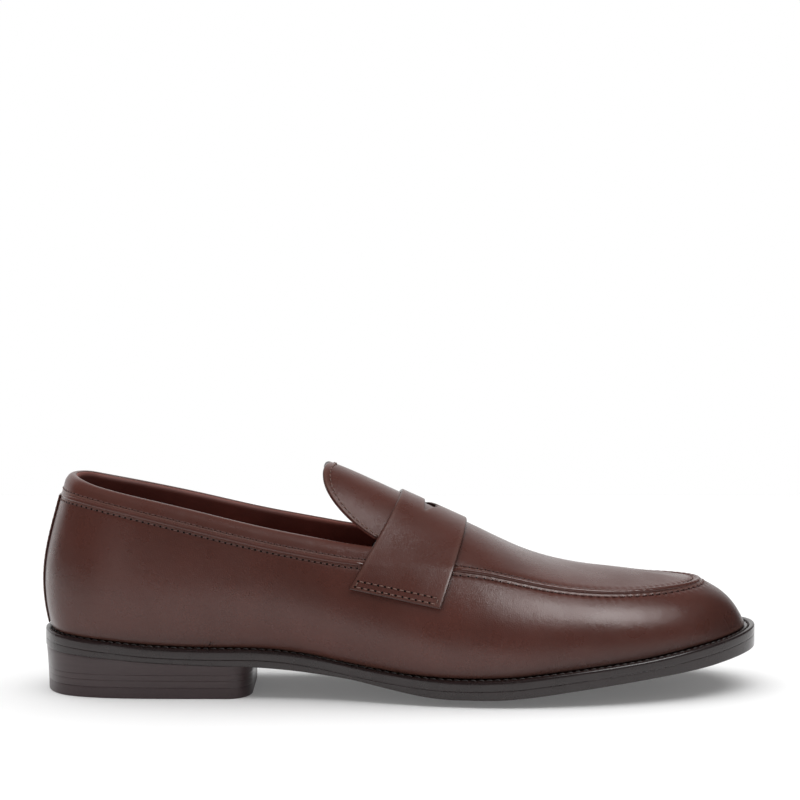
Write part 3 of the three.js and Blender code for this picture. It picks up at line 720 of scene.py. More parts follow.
def calf_leather(name, deep, warm, roughness, worn, grain=1.0):
    """Smooth waxed calf: fine pebbled grain, soft mottling of the dye, lighter rubbed edges."""
    n = Nodes(name)
    place = n.place()
    mottle = n.span(n.noise(place, 210, 4, 0.6), 0.35, 0.75)
    colour = n.mix(n.span(n.noise(place, 26, 3), 0.34, 0.68), deep, warm)
    colour = n.mix(n.part(mottle, 0.12), colour, times(0.55, deep))
    # darker by the tone value: inked cut edges, the darker back strip, and the painted shade of the wall's
    # foot, toe end and heel back
    colour = n.mix(n.part(n.value("tone"), 0.85), colour, times(0.30, deep))
    colour = n.mix(n.part(n.value("edge"), 0.5), colour, worn)
    squeezed = n.node("Mapping", {"Vector": place, "Scale": (1, 1.15, 0.9)})
    normal = n.bump(n.noise(place, 95, 3), 0.16, 0.0012)
    normal = n.bump(n.span(n.cells(squeezed, 1350), 0.0, 0.35), 0.13 * grain, 0.00018, normal)
    normal = n.bump(n.noise(place, 2300, 3), 0.30 * grain, 0.00012, normal)
    rough = n.span(n.noise(place, 75, 4), 0.3, 0.7, roughness - 0.04, roughness + 0.05)
    n.surface(Base_Color=colour, Roughness=rough, Normal=normal, IOR=1.46)
    return n.surface(Coat_Weight=0.08, Coat_Roughness=0.25)


def lining_leather(name):
    """Reddish brown lining calf, matt, with a soft nap."""
    n = Nodes(name)
    place = n.place()
    cloud = n.span(n.noise(place, 60, 4), 0.3, 0.7)
    colour = n.mix(cloud, rgb(0.160, 0.046, 0.034), rgb(0.215, 0.066, 0.049))
    colour = n.mix(n.part(n.value("edge"), 0.3), colour, rgb(0.16, 0.075, 0.055))
    normal = n.bump(n.noise(place, 150, 3), 0.12, 0.001)
    normal = n.bump(n.span(n.cells(place, 1250), 0.0, 0.25), 0.16, 0.00012, normal)
    rough = n.span(n.noise(place, 90, 3), 0.3, 0.7, 0.55, 0.66)
    return n.surface(Base_Color=colour, Normal=normal, Roughness=rough)


def polished_edge(name, deep, warm, roughness):
    """Dyed and waxed edge of sole leather, with the faint lines of its layers."""
    n = Nodes(name)
    place = n.place()
    layers = n.noise(place, 260, 4, 0.6, (0.25, 0.25, 6))
    colour = n.mix(n.span(layers, 0.3, 0.7), deep, warm)
    colour = n.mix(n.part(n.span(n.noise(place, 45, 3), 0.4, 0.7), 0.35), colour, deep)
    # painted reflection: lighter where the edge value is set, a thin line along the outsole's lower edge
    colour = n.mix(n.part(n.value("edge"), 0.3), colour, times(2.2, warm))
    normal = n.bump(layers, 0.05, 0.0004)
    normal = n.bump(n.noise(place, 900, 3), 0.08, 0.0002, normal)
    rough = n.span(n.noise(place, 120, 4), 0.3, 0.7, roughness - 0.04, roughness + 0.07)
    n.surface(Base_Color=colour, Normal=normal, Roughness=rough)
    return n.surface(Coat_Weight=0.15, Coat_Roughness=0.18)


def sole_face(name):
    """Underside of the leather sole: dyed dark, scuffed, with a fibrous surface."""
    n = Nodes(name)
    place = n.place()
    fibre = n.noise(place, 420, 5, 0.65, (0.5, 1.4, 1))
    colour = n.mix(n.span(fibre, 0.3, 0.7), rgb(0.016, 0.010, 0.008), rgb(0.034, 0.021, 0.016))
    scuff = n.span(n.noise(place, 55, 6, 0.7), 0.56, 0.7)
    colour = n.mix(n.part(scuff, 0.35), colour, rgb(0.075, 0.05, 0.038))
    rough = n.span(fibre, 0.3, 0.7, 0.45, 0.62)
    return n.surface(Base_Color=colour, Normal=n.bump(fibre, 0.25, 0.0003), Roughness=rough)


def grained(name, dark, light, grain, lift, roughness, carried=False):
    """One grain (scale, detail, roughness, stretch) sets the colour, the relief and the gloss."""
    n = Nodes(name)
    fibre = n.noise(n.place(carried), *grain)
    colour = n.mix(n.span(fibre, 0.3, 0.7), dark, light)
    rough = n.span(fibre, 0.3, 0.7, *roughness)
    return n.surface(Base_Color=colour, Normal=n.bump(fibre, *lift), Roughness=rough)


def thread(name, dark, light):
    """Waxed twisted thread."""
    return grained(name, dark, light, (2600, 2, 0.5, (1, 1.6, 1.6)), (0.5, 0.00015), (0.42, 0.6))


def rubber(name):
    dark, light = rgb(0.034, 0.0175, 0.019), rgb(0.042, 0.0225, 0.0245)
    return grained(name, dark, light, (800, 3), (0.2, 0.0002), (0.34, 0.44))


def fibre_board(name, carried):
    """Compressed fibre of the insole board and the stiffeners."""
    dark, light = rgb(0.30, 0.21, 0.12), rgb(0.45, 0.33, 0.20)
    grain = (700, 6, 0.7, (1, 2.2, 2.2))
    return grained(name, dark, light, grain, (0.3, 0.0003), (0.75, 0.9), carried)


def hole_shade(name):
    """Painted shade inside a needle hole: near-black."""
    n = Nodes(name)
    shade = n.mix(n.noise(n.place(), 900, 2), rgb(0.004, 0.002, 0.002), rgb(0.012, 0.007, 0.006))
    return n.surface(Base_Color=shade, Roughness=0.85, Specular_IOR_Level=0.1)


def cork(name):
    n = Nodes(name)
    place = n.place()
    grains = n.node("TexVoronoi", {"Vector": place, "Scale": 520.0}, out="Color")
    tint = n.node("SeparateColor", {"Color": grains}, out=0)
    gaps = n.span(n.cells(place, 520), 0.0, 0.08)
    colour = n.mix(tint, rgb(0.20, 0.10, 0.045), rgb(0.42, 0.25, 0.12))
    colour = n.mix(gaps, rgb(0.08, 0.04, 0.02), colour)
    rough = n.span(gaps, 0, 1, 0.95, 0.82)
    return n.surface(Base_Color=colour, Normal=n.bump(gaps, 0.5, 0.0004), Roughness=rough)


def latex_foam(name):
    n = Nodes(name)
    bubbles = n.span(n.cells(n.place(), 1400, "F1"), 0.1, 0.6)
    colour = n.mix(bubbles, rgb(0.38, 0.31, 0.20), rgb(0.62, 0.54, 0.38))
    rough = n.span(bubbles, 0, 1, 0.95, 0.8)
    return n.surface(Base_Color=colour, Normal=n.bump(bubbles, 0.6, 0.0003), Roughness=rough)


def metal(name, colour, dull, roughness):
    """Rolled or drawn metal with fine marks along it."""
    n = Nodes(name)
    place = n.place(carried=True)
    marks = n.noise(place, 900, 4, 0.6, (0.15, 3, 3))
    shade = n.mix(n.span(n.noise(place, 160, 4), 0.35, 0.7), colour, dull)
    rough = n.span(marks, 0.3, 0.7, roughness - 0.06, roughness + 0.1)
    return n.surface(Base_Color=shade, Metallic=1.0, Roughness=rough, Normal=n.bump(marks, 0.12, 0.0001))


FLOOR_GLOW = 0.12                 # painted light: the floor glows a little, which lifts the shadow under the shoe


def pale_floor(name):
    n = Nodes(name)
    place = n.node("TexCoord", out="Object")
    shade = n.mix(n.noise(place, 3, 2), rgb(0.80, 0.80, 0.80), rgb(0.82, 0.82, 0.82))
    n.surface(Base_Color=shade, Roughness=0.8, Specular_IOR_Level=0.1)
    # painted light: the floor glows faintly
    return n.surface(Emission_Color=rgb(1, 1, 1), Emission_Strength=FLOOR_GLOW)


UPPER = calf_leather(
    "calf", rgb(0.077, 0.0225, 0.0155), rgb(0.099, 0.030, 0.0215), 0.28, rgb(0.15, 0.074, 0.058))
RIDGE = calf_leather(
    "calf_ridge", rgb(0.080, 0.026, 0.019), rgb(0.100, 0.034, 0.026), 0.25, rgb(0.14, 0.07, 0.055), 0.6)
LINING_LEATHER = lining_leather("lining_calf")
EDGE = polished_edge("sole_edge", rgb(0.013, 0.0065, 0.0065), rgb(0.022, 0.0115, 0.0115), 0.24)
HEEL = polished_edge("heel_edge", rgb(0.034, 0.0165, 0.0175), rgb(0.044, 0.0225, 0.024), 0.33)
SOLE_FACE = sole_face("sole_face")
THREAD = thread("thread", rgb(0.10, 0.05, 0.038), rgb(0.23, 0.12, 0.095))
RED_THREAD = thread("red_thread", rgb(0.07, 0.027, 0.022), rgb(0.15, 0.062, 0.052))
DARK_THREAD = thread("dark_thread", rgb(0.03, 0.016, 0.013), rgb(0.075, 0.042, 0.034))
WELT_THREAD = thread("welt_thread", rgb(0.016, 0.012, 0.011), rgb(0.045, 0.034, 0.032))
HOLE_SHADE = hole_shade("needle_hole_shade")
RUBBER = rubber("top_piece_rubber")
BOARD = fibre_board("board", carried=True)
MADE_BOARD = fibre_board("insole_board", carried=False)
CORK = cork("cork")
FOAM = latex_foam("latex_foam")
STEEL = metal("spring_steel", rgb(0.42, 0.43, 0.45), rgb(0.28, 0.28, 0.30), 0.34)
BRASS = metal("brass", rgb(0.62, 0.44, 0.18), rgb(0.40, 0.27, 0.11), 0.36)


# ---------------------------------------------------------------- upper: the wall
EDGE_ROOM = 0.7                   # leather edges tuck under the ridge, this far from the seam
BACK_SEAM = 0.03                  # half the gap of the back seam, in spokes
COLLAR_END = float(plane_spoke(1.0, STRAP_REAR, 1.6))
RIDGE_START = float(plane_spoke(1.0, STRAP_FRONT, -1.4))
RIDGE_END = AROUND - RIDGE_START
RIDGE_DIP = 0.16                  # over these last spokes a ridge dips under the strap
LOWER_ROW = 2.05                  # stitches lie this far below the seam
UPPER_ROW = 2.4                   # and this far above it
APRON_ROW = LOWER_ROW + 0.5       # the apron's lower row lies further down
SEWN_STEP = 0.66                  # grid lines this close follow the puckers between the stitches
BACK_EDGE = np.array([0, 0.01, 0.03, 0.06])
TOE_SPOKES = (11.5, 1.9)          # the puckers are full from this spoke on, and fade before it
SEAM_SPOKES = np.linspace(0, AROUND, 3001)
SEAM_ALONG = running(skin(SEAM_SPOKES, 1)[:, None, :], 0)[:, 0]


def seam_length(s):
    return np.interp(s, SEAM_SPOKES, SEAM_ALONG)


def stations(start, end, step):
    """Spokes from start to end at equal steps along the seam."""
    first, last = seam_length(start), seam_length(end)
    count = int(np.ceil((last - first) / step))
    return np.interp(np.linspace(first, last, count + 1), SEAM_ALONG, SEAM_SPOKES)


def within(s, low, high, fade):
    """1 between two spokes, fading to 0 beyond them."""
    return smooth(s, low - fade, low) * (1 - smooth(s, high, high + fade))


def near_toe(s):
    start, fade = TOE_SPOKES
    return within(s, start, AROUND - start, fade)


def stitch_wave(s):
    return np.cos(2 * np.pi * (seam_length(s) - seam_length(RIDGE_START)) / APRON_PITCH)


def pucker(s, distance, row):
    """Relief beside a sewn row: a soft channel, and small swellings between the stitches near the toe."""
    swell = 0.17 * stitch_wave(s) * swelling(distance, row + 0.4, 1.3) * (0.25 + 0.75 * near_toe(s))
    return (swell - 0.30 * swelling(distance, row, 0.75)) * within(s, RIDGE_START, RIDGE_END, 0.2)


def make_wall():
    sewn = stations(RIDGE_START - 0.3, RIDGE_END + 0.3, SEWN_STEP)
    s = np.concatenate([
        BACK_SEAM + BACK_EDGE,
        stations(0.15, sewn[0], 2.0)[:-1],
        sewn,
        stations(sewn[-1], AROUND - 0.15, 2.0)[1:],
        AROUND - BACK_SEAM - BACK_EDGE[::-1],
    ])
    below = EDGE_ROOM + np.array([7.0, 5.4, 4.2, 3.3, 2.6, 2.0, 1.5, 1.1, 0.7, 0.4, 0.18, 0.06, 0])
    upper = np.stack([below_seam(s, d) for d in below], 1)
    rows = np.concatenate([[0, 0.004, 0.012, 0.03], np.linspace(0.06, 1, 30)])[:-1]
    low = foot_level(s, -LEATHER)[:, None]
    level = np.concatenate([low + (upper[:, :1] - low) * rows, upper], 1)
    spoke = np.broadcast_to(s[:, None], level.shape)
    place = skin(spoke, level)
    distance = length_of(place - skin(spoke, 1))
    is_apron = within(spoke, COLLAR_END + 0.1, AROUND - COLLAR_END - 0.1, 0.1)
    relief = pucker(spoke, distance, APRON_ROW) - 0.18 * swelling(distance, LOWER_ROW, 0.6) * (1 - is_apron)
    # painted shade: the wall is darker near its foot at the welt, towards the toe end and at the back of the
    # heel
    foot_shade = 0.9 * np.exp(-running(place, 1) / 2.2)
    toe_and_heel_shade = 0.68 * smooth(place[..., 0], 258, 296) + 0.25 * (1 - smooth(place[..., 0], 4, 30))
    shape = layered(place, skin_normal(spoke, level), 0.0, -LEATHER, (True,) * 4, relief=relief,
                    shade=np.maximum(foot_shade, toe_and_heel_shade))
    bends(make("wall", shape, [UPPER]), "wall_rear_outer", "wall_rear_inner", "wall_toe")


STRIP_FACE = GAP + 0.6
STRIP_HALF = 0.34                 # half its width, in spokes
STRIP_ROWS = 0.24                 # its stitches lie this far from its middle
STRIP_TONE = 0.4                  # it is a little darker


def make_back_strip():
    s, fraction = np.meshgrid(STRIP_HALF * (2 * graded(10, 9.0) - 1), graded(40, 56.0), indexing="ij")
    level = 0.02 + (below_seam(s, EDGE_ROOM) - 0.02) * fraction
    shape = on_last(s, level, STRIP_FACE, GAP - 0.25)
    shape.values["tone"] = [np.full(shape.count, STRIP_TONE)]
    rides(make("back_strip", shape, [UPPER]), "rear", "back_strip")
    rows = Shape()
    for side in (-STRIP_ROWS, STRIP_ROWS):
        path = last_path(side, np.linspace(0.05, 0.955, 120), STRIP_FACE - 0.16)
        seam_stitches(rows, path, SEAM_PITCH, radius=0.16, lift=0.05, hole=0.26)
    rides(make("back_strip_stitches", rows, [DARK_THREAD, HOLE_SHADE], weld=0), "rear")


# ---------------------------------------------------------------- upper: collar
ROLL = 2.4                        # the topline is rolled to this radius
COLLAR_FINE = np.array([0.0006, 0.002, 0.005])     # shares of the fine columns at its ends


def collar_grid(low_of, fractions, shift, step):
    """Grid of spokes and levels from low_of to the topline, ending on a plane under the strap."""
    end = float(plane_spoke(1.0, STRAP_REAR, shift))
    half = stations(0, end, step) / end
    share = np.unique(np.concatenate([-half[::-1], half[1:], 1 - COLLAR_FINE, COLLAR_FINE - 1]))
    share, fraction = np.meshgrid(share, fractions, indexing="ij")
    low = low_of(share * end)
    level = low + (collar_top(share * end) - low) * fraction
    return share * plane_spoke(level, STRAP_REAR, shift), level


def below_topline(place):
    """Distance down from the topline, and how far the leather there has swollen into the roll."""
    up = running(place, 1)
    down = up[:, -1:] - up
    return down, smooth(-down, -5.0, -1.5)


def rolled(distance, radius):
    """Depth of a quarter circle at a distance from its end."""
    short = radius - np.minimum(distance, radius)
    return radius - np.sqrt(np.maximum(0, radius**2 - short**2))


def ridge(name, spokes, wave, sinking):
    """Leather-covered cord laid in the seam, lying deeper where sinking is above 0."""
    normal = skin_normal(spokes, 1)
    across = unit(skin(spokes, 1.02) - skin(spokes, 0.98))
    across = unit(across - normal * col(np.sum(across * normal, -1)))
    centre = skin(spokes, 1) - normal * col(RIDGE_SUNK + sinking)
    radius = RIDGE_RADIUS * (1 + wave * (0.3 + 0.7 * near_toe(spokes)) * stitch_wave(spokes % AROUND))
    radius[[1, -2]] *= 0.85
    radius[[0, -1]] = 0
    points = centre[:, None] + circles(normal, across, 17, closed=True) * radius[:, None, None]
    return make(name, Shape().grid(points, flip=True), [RIDGE])


def make_collar():
    """The band and the rolled edge of the topline, and the corded ridge in the seam under it."""
    s, level = collar_grid(lambda g: above_seam(g, EDGE_ROOM), graded(16, 9.0), TUCKED, 1.4)
    place = skin(s, level)
    distance = length_of(place - skin(s, 1))
    down, swell = below_topline(place)
    relief = 0.35 * swelling(down, 4.2, 1.9) - 0.16 * swelling(distance, UPPER_ROW, 0.6)
    shape = layered(place, skin_normal(s, level), -rolled(down, ROLL), -LEATHER - (ROLL - LEATHER) * swell,
                    (True, True, True, False), relief=relief * np.clip(down, 0, 1))
    rides(make("collar_band", shape, [UPPER]), "rear", "collar_band")

    rows = Shape()
    spokes = np.linspace(-COLLAR_END - 0.05, COLLAR_END + 0.05, 1400)
    lower = last_path(spokes, below_seam(spokes, LOWER_ROW), -0.12)
    upper = last_path(spokes, above_seam(spokes, UPPER_ROW), -0.10)
    seam_stitches(rows, lower, SEAM_PITCH, radius=0.2, hole=0.46)
    seam_stitches(rows, upper, SEAM_PITCH, radius=0.22, hole=0.36)
    rides(make("collar_stitches", rows, [RED_THREAD, HOLE_SHADE], weld=0), "rear")

    spokes = stations(0, COLLAR_END, 1.2)
    spokes = np.concatenate([-spokes[::-1], spokes[1:]])
    under_strap = smooth(abs(spokes), COLLAR_END - RIDGE_DIP, COLLAR_END - 0.4 * RIDGE_DIP)
    sinking = 0.62 * (1 - smooth(abs(spokes), 1.2, 5.5) + under_strap)
    rides(ridge("collar_ridge", spokes, 0.0, sinking), "rear", "collar_piping")


# ---------------------------------------------------------------- upper: apron
FOREPART_SHIFT = TUCKED + 0.5     # the apron and its lining start this far in front of the strap's rear edge
FOREPART_START = float(plane_spoke(1.0, STRAP_REAR, FOREPART_SHIFT))


def forepart_grid(lowest, sides, shares):
    """Grid from a plane under the strap to the toe, over the crest from edge to edge."""
    def spoke_at(level, share):
        rear = plane_spoke(level, STRAP_REAR, FOREPART_SHIFT)
        return rear + (TOE - rear) * share

    def low(share):
        return lowest(FOREPART_START + (TOE - FOREPART_START) * share)

    return across_crest(low, spoke_at, sides, shares)


def make_apron():
    sides = np.unique(np.append(1 - 2 * graded(56, 72.0), 0.0))[::-1]
    sewn = stations(RIDGE_START - 0.3, TOE, SEWN_STEP)
    base = np.concatenate([stations(FOREPART_START, sewn[0], 1.6)[:-1], sewn])
    shares = (base - FOREPART_START) / (TOE - FOREPART_START)
    shares = np.unique(np.append(shares, [0.0008, 0.0025, 0.006]))
    s, level = forepart_grid(lambda g: above_seam(g, EDGE_ROOM), sides, shares)
    place = skin(s, level)
    relief = pucker(s, length_of(place - skin(s, 1)), UPPER_ROW)
    shape = layered(place, skin_normal(s, level), 0.0, -LEATHER, (True, True, True, False), relief=relief)
    bends(make("apron", shape, [UPPER]), "apron_rear", "apron_toe")

    spokes = stations(RIDGE_START, RIDGE_END, SEWN_STEP)
    from_end = np.minimum(spokes, AROUND - spokes) - RIDGE_START
    sinking = 0.84 * (1 - smooth(from_end, 0.4 * RIDGE_DIP, RIDGE_DIP)) - 0.22
    sinking = sinking + 0.35 * (1 - smooth(abs(spokes - TOE), 0.6, 2.6))
    piece = ridge("apron_ridge", spokes, 0.045, sinking)
    bends(piece, "apron_piping_outer", "apron_piping_inner", "apron_piping_toe")

    rows = Shape()
    spokes = np.linspace(RIDGE_START - 0.1, RIDGE_END + 0.1, 2400)
    outer = last_path(spokes, below_seam(spokes, APRON_ROW), -0.22)
    inner = last_path(spokes, above_seam(spokes, UPPER_ROW), -0.22)
    seam_stitches(rows, outer, APRON_PITCH, radius=0.29, share=0.7, lift=0.3, hole=0.48)
    seam_stitches(rows, inner, APRON_PITCH, radius=0.24, share=0.7, lift=0.22, hole=0.4)
    bends(make("apron_stitches", rows, [RED_THREAD, HOLE_SHADE], weld=0))


# ---------------------------------------------------------------- upper: tongue
def tongue_sheet(top, bottom, inset, tuck):
    """One layer of the tongue, ending on a plane under the strap."""
    def spoke_at(level, share):
        rear = tongue_edge(level, inset)
        return rear + (plane_spoke(level, STRAP_REAR, tuck) - rear) * share

    lowest = TONGUE_LOW + 0.006 * inset
    sides = 1 - 2 * graded(44, 70.0)
    s, level = across_crest(lambda share: np.full_like(share, lowest), spoke_at, sides, graded(26, 24.0))
    return on_last(s, level, top, bottom)


def make_tongue():
    leather = make("tongue", tongue_sheet(0.0, -LEATHER, 0.0, 2.4), [UPPER])
    bends_with_tongue(leather, "tongue")
    lining = make("tongue_lining", tongue_sheet(-1.42, -2.6, 0.35, 2.2), [LINING_LEATHER])
    bends_with_tongue(lining, "tongue_lining")
    rows = Shape()
    half = np.linspace(TONGUE_LOW + 0.01, 2, 260)
    edge = tongue_edge(half, 2.9)
    s = np.concatenate([edge, AROUND - edge[::-1][1:]])
    level = np.concatenate([half, half[::-1][1:]])
    seam_stitches(rows, last_path(s, level), SEAM_PITCH, radius=0.27, lift=0.22, hole=0)
    bends_with_tongue(make("tongue_stitches", rows, [THREAD, HOLE_SHADE], weld=0))


# ---------------------------------------------------------------- upper: saddle strap
STRAP_FACE = GAP + STRAP_THICK
STRAP_WIDE = 27.5                 # from its rear edge to its front edge
STRAP_MIDDLE = 0.42               # where the two halves of the strap's grid meet, away from the slot
SLOT_REAR = 160.0
SLOT_HALF = 12.0
SLOT_DEEP = 6.0
SLOT_SIDE = 0.24                  # the slot lies within this side value, with fine columns
SLOT_LOWEST = 60.0                # everything below this height is clear of the slot
# Front edge of the slot, as shares of its half width and depth (y, x)
SLOT_FRONT = ((-1, 0), (-0.3, 0.8), (-0.1, 0.7), (0, 1), (0.1, 0.7), (0.3, 0.8), (1, 0))
SLOT_CORNERS = np.array([(SLOT_REAR + SLOT_DEEP * x, SLOT_HALF * y) for y, x in SLOT_FRONT + SLOT_FRONT[:1]])


def slot_distance(point):
    """Distance in plan from the slot's rim."""
    nearest = np.full(point.shape[:-1], FAR)
    for a, b in zip(SLOT_CORNERS[:-1], SLOT_CORNERS[1:]):
        t = np.clip(((point - a) @ (b - a)) / ((b - a) @ (b - a)), 0, 1)
        nearest = np.minimum(nearest, length_of(point - (a + col(t) * (b - a))))
    return nearest


def strap_grid(sides, fractions):
    """Grid over the strap; fractions run from its rear edge to its front edge, one set per side."""
    side = np.broadcast_to(sides[:, None], fractions.shape)
    level = 2 + (strap_edge(fractions) - 2) * abs(side)
    s = strap_spoke(level, fractions)
    return np.where(side < 0, s, AROUND - s), level


def slot_cuts(sides):
    """Fractions at which the strap's rear half ends and its front half starts, one pair per side."""
    table = np.linspace(0, 1, 25)
    lined = skin(*strap_grid(sides, np.broadcast_to(table, (len(sides), len(table)))))
    rear_cut, front_cut = np.full(len(sides), STRAP_MIDDLE), np.full(len(sides), STRAP_MIDDLE)
    for i in np.flatnonzero(abs(sides) < 0.3):
        xs, ys = lined[i, :, 0], lined[i, :, 1]
        y = np.interp(SLOT_REAR, xs, ys)
        deep = np.interp(y, SLOT_CORNERS[:-1, 1], SLOT_CORNERS[:-1, 0])
        rear_cut[i] = np.interp(SLOT_REAR, xs, table)
        front_cut[i] = np.interp(deep if abs(y) < SLOT_HALF else SLOT_REAR, xs, table)
    settle = np.clip((abs(sides) - SLOT_SIDE) / 0.1, 0, 1)
    centre = rear_cut[abs(sides) < 0.3].mean()
    is_plain = abs(sides) > SLOT_SIDE + 0.005
    rear_cut = np.where(is_plain, centre + (STRAP_MIDDLE - centre) * settle, rear_cut)
    return rear_cut, np.where(is_plain, rear_cut, front_cut)


def make_strap():
    across = 1 - 2 * graded(96, 118.0)
    sides = np.append(across[abs(across) > SLOT_SIDE + 0.005], np.linspace(-SLOT_SIDE, SLOT_SIDE, 61))
    sides = np.unique(np.round(sides, 7))[::-1]
    rear_cut, front_cut = slot_cuts(sides)
    shape = Shape()
    for start, end, count in ((0 * rear_cut, rear_cut, 12), (front_cut, 1 + 0 * front_cut, 16)):
        fractions = start[:, None] + (end - start)[:, None] * graded(count, 12.0)
        s, level = strap_grid(sides, fractions)
        place = skin(s, level)
        whole = running(place, 0)
        nearest = np.minimum(whole, whole[-1:] - whole)
        nearest = np.minimum(nearest, np.minimum(fractions, 1 - fractions) * STRAP_WIDE)
        cut = np.where(place[..., 2] > SLOT_LOWEST, slot_distance(place[..., :2]), FAR)
        layered(place, skin_normal(s, level), STRAP_FACE, GAP, (False,) * 4, shape,
                nearest=np.minimum(nearest, cut), rubbed=0.55, cut_width=0.5)
    rides(make("saddle_strap", shape, [UPPER]), "rear", "saddle_strap")


def strap_point(fraction, distance):
    """Spokes and levels on the strap's outer end, at distances up from its lower edge."""
    table = np.linspace(0, 0.25, 26)
    level = 2 + (strap_edge(fraction)[:, None] - 2) * (1 - table)
    up = running(skin(strap_spoke(level, fraction[:, None]), level), 1)
    found = np.array([np.interp(d, u, v) for d, u, v in zip(distance, up, level)])
    return strap_spoke(found, fraction), found


def make_strap_stitches():
    """A closed box of stitches across each end of the strap."""
    rows = Shape()
    ends, heights = (0.055, 0.945), (1.5, 4.1)
    along, short = np.linspace(*ends, 60), np.linspace(*heights, 8)
    lines = [(along, np.full(60, height), 2.75) for height in heights]
    lines += [(np.full(8, end), short, 2.6) for end in ends]
    for fraction, distance, pitch in lines:
        s, level = strap_point(fraction, distance)
        for spoke in (s, AROUND - s):
            path = last_path(spoke, level, STRAP_FACE)
            seam_stitches(rows, path, pitch, radius=0.27, share=0.66, hole=0.5)
    rides(make("strap_stitches", rows, [THREAD, HOLE_SHADE], weld=0), "rear")


# ---------------------------------------------------------------- linings
LINING_FACE = -LEATHER - STIFFENER_ROOM
LINING_BACK = LINING_FACE - LINING
ROLL_INSIDE = ROLL + 0.06         # the lining meets the topline's roll here


def lining_foot(s):
    return foot_level(s, LINING_BACK)


def make_linings():
    s, level = collar_grid(lining_foot, graded(40, 60.0), TUCKED - 0.3, 2.0)
    place = skin(s, level)
    down, swell = below_topline(place)
    face = LINING_FACE - (ROLL_INSIDE + LINING_FACE) * swell
    back = LINING_BACK + rolled(down, -LINING_BACK - ROLL_INSIDE)
    shape = layered(place, skin_normal(s, level), face, back, (True, True, True, False))
    rides(make("quarter_lining", shape, [LINING_LEATHER]), "rear", "quarter_lining")

    s, level = forepart_grid(lining_foot, 1 - 2 * graded(70, 150.0), graded(70, 130.0, (True, False)))
    shape = on_last(s, level, LINING_FACE, LINING_BACK, (True, True, True, False))
    piece = make("vamp_lining", shape, [LINING_LEATHER])
    bends(piece, "vamp_lining_rear", "vamp_lining_toe")


# ---------------------------------------------------------------- bottom
MIDDLE = (34.0, 258.0)            # ends of the middle line that the bottom's layers close onto
INWARDS = (0.0, 0.04, 0.1, 0.2, 0.34, 0.5, 0.66, 0.82, 0.93, 1.0)
LAYER_GAP = 0.5                   # between the welt and the insole
SOCK_UNDER = LAYER_GAP + INSOLE_THICK + GAP
# Sections as (inset from the sole's edge, depth below the face)
WELT_CHANNEL = ((4.0, 0.0), (3.5, 0.05), (3.1, 0.24), (2.7, 0.3), (2.3, 0.24), (2.0, 0.05))
WELT_EDGE = (
    (1.5, 0.0), (1.0, 0.04), (0.6, 0.14), (0.3, 0.32), (0.12, 0.58), (0.03, 0.95), (0.0, 1.5),
    (0.0, 2.3), (0.0, 3.2), (0.0, 4.08), (0.03, 4.16), (0.12, 4.2),
)
SOLE_TOP_EDGE = ((0.12, 0.0), (0.05, 0.02), (0.01, 0.06), (0.0, 0.12), (0.0, 0.6))
SOLE_LOW_EDGE = ((0.5, 0.0), (0.3, 0.03), (0.13, 0.1), (0.03, 0.26), (0.0, 0.6))


def in_plan(s, inset, share):
    """A point of the sole's plan, from the edge (share 0) in to the middle line (share 1)."""
    middle = MIDDLE[0] + (MIDDLE[1] - MIDDLE[0]) * (seam_x(s) - seam_x(0)) / (seam_x(TOE) - seam_x(0))
    edge = outline(s, inset)
    return edge + (np.stack([middle, centre_line(middle), 0 * middle], -1) - edge) * share


def at_height(points, height, rise=0.0):
    points[:, 2] = height(points[:, 0], points[:, 1]) + rise
    return points


def raised(height):
    return lambda x, y: welt_top(x, y) + height


def rounded(radius, steps):
    """(inset, depth) points round a quarter circle, from a flat face to the side."""
    angles = np.linspace(0, np.pi / 2, steps)
    return [(radius * (1 - math.sin(a)), radius * (1 - math.cos(a))) for a in angles]


def slab(inset, top, bottom, top_edge, bottom_edge, columns):
    """Layer of the bottom with rounded edges. Its edge profiles are (inset, depth) from each face."""
    s = np.linspace(0, AROUND, columns + 1)
    base = inset(s)
    (top_in, top_down), (low_in, low_up) = top_edge[0], bottom_edge[0]
    rings = [at_height(in_plan(s, base + top_in, share), top, -top_down) for share in INWARDS[::-1]]
    rings += [at_height(outline(s, base + extra), top, -depth) for extra, depth in top_edge[1:]]
    rings += [at_height(outline(s, base + extra), bottom, depth) for extra, depth in bottom_edge[::-1]]
    rings += [at_height(in_plan(s, base + low_in, share), bottom, low_up) for share in INWARDS[1:]]
    return wrapped(rings)


def sole_stitches(s, inset, height, rise, side, **options):
    """A row of stitches along the welt or under the sole, in front of the heel where it is below."""
    base = at_height(outline(s, inset), height, rise)
    if side < 0:
        base = base[base[:, 0] > HEEL_FRONT + 8]
    rows = Shape()
    away = np.broadcast_to(np.array([0, 0, float(side)]), base.shape)
    seam_stitches(rows, Path(base, away), WELT_PITCH, share=0.8, **options)
    return rows


def make_welt():
    """Ring with a rounded, polished edge and a sewing channel on top."""
    section = ((WELT_WIDTH, 0.0), (9.0, 0.0), (6.0, 0.0)) + WELT_CHANNEL + WELT_EDGE
    section += ((WELT_WIDTH, WELT_THICK), section[0])
    s = np.linspace(0, AROUND, 561)
    shape = wrapped([at_height(outline(s, inset), welt_top, -depth) for inset, depth in section])
    bends(make("welt", shape, [EDGE]), "welt_rear", "welt_toe")
    s = np.linspace(0.02, AROUND - 0.02, 3000)
    rows = sole_stitches(s, 2.65, welt_top, -0.16, 1, radius=0.3, lift=0.26, slant=0.15)
    bends(make("welt_stitches", rows, [WELT_THREAD, HOLE_SHADE], weld=0))


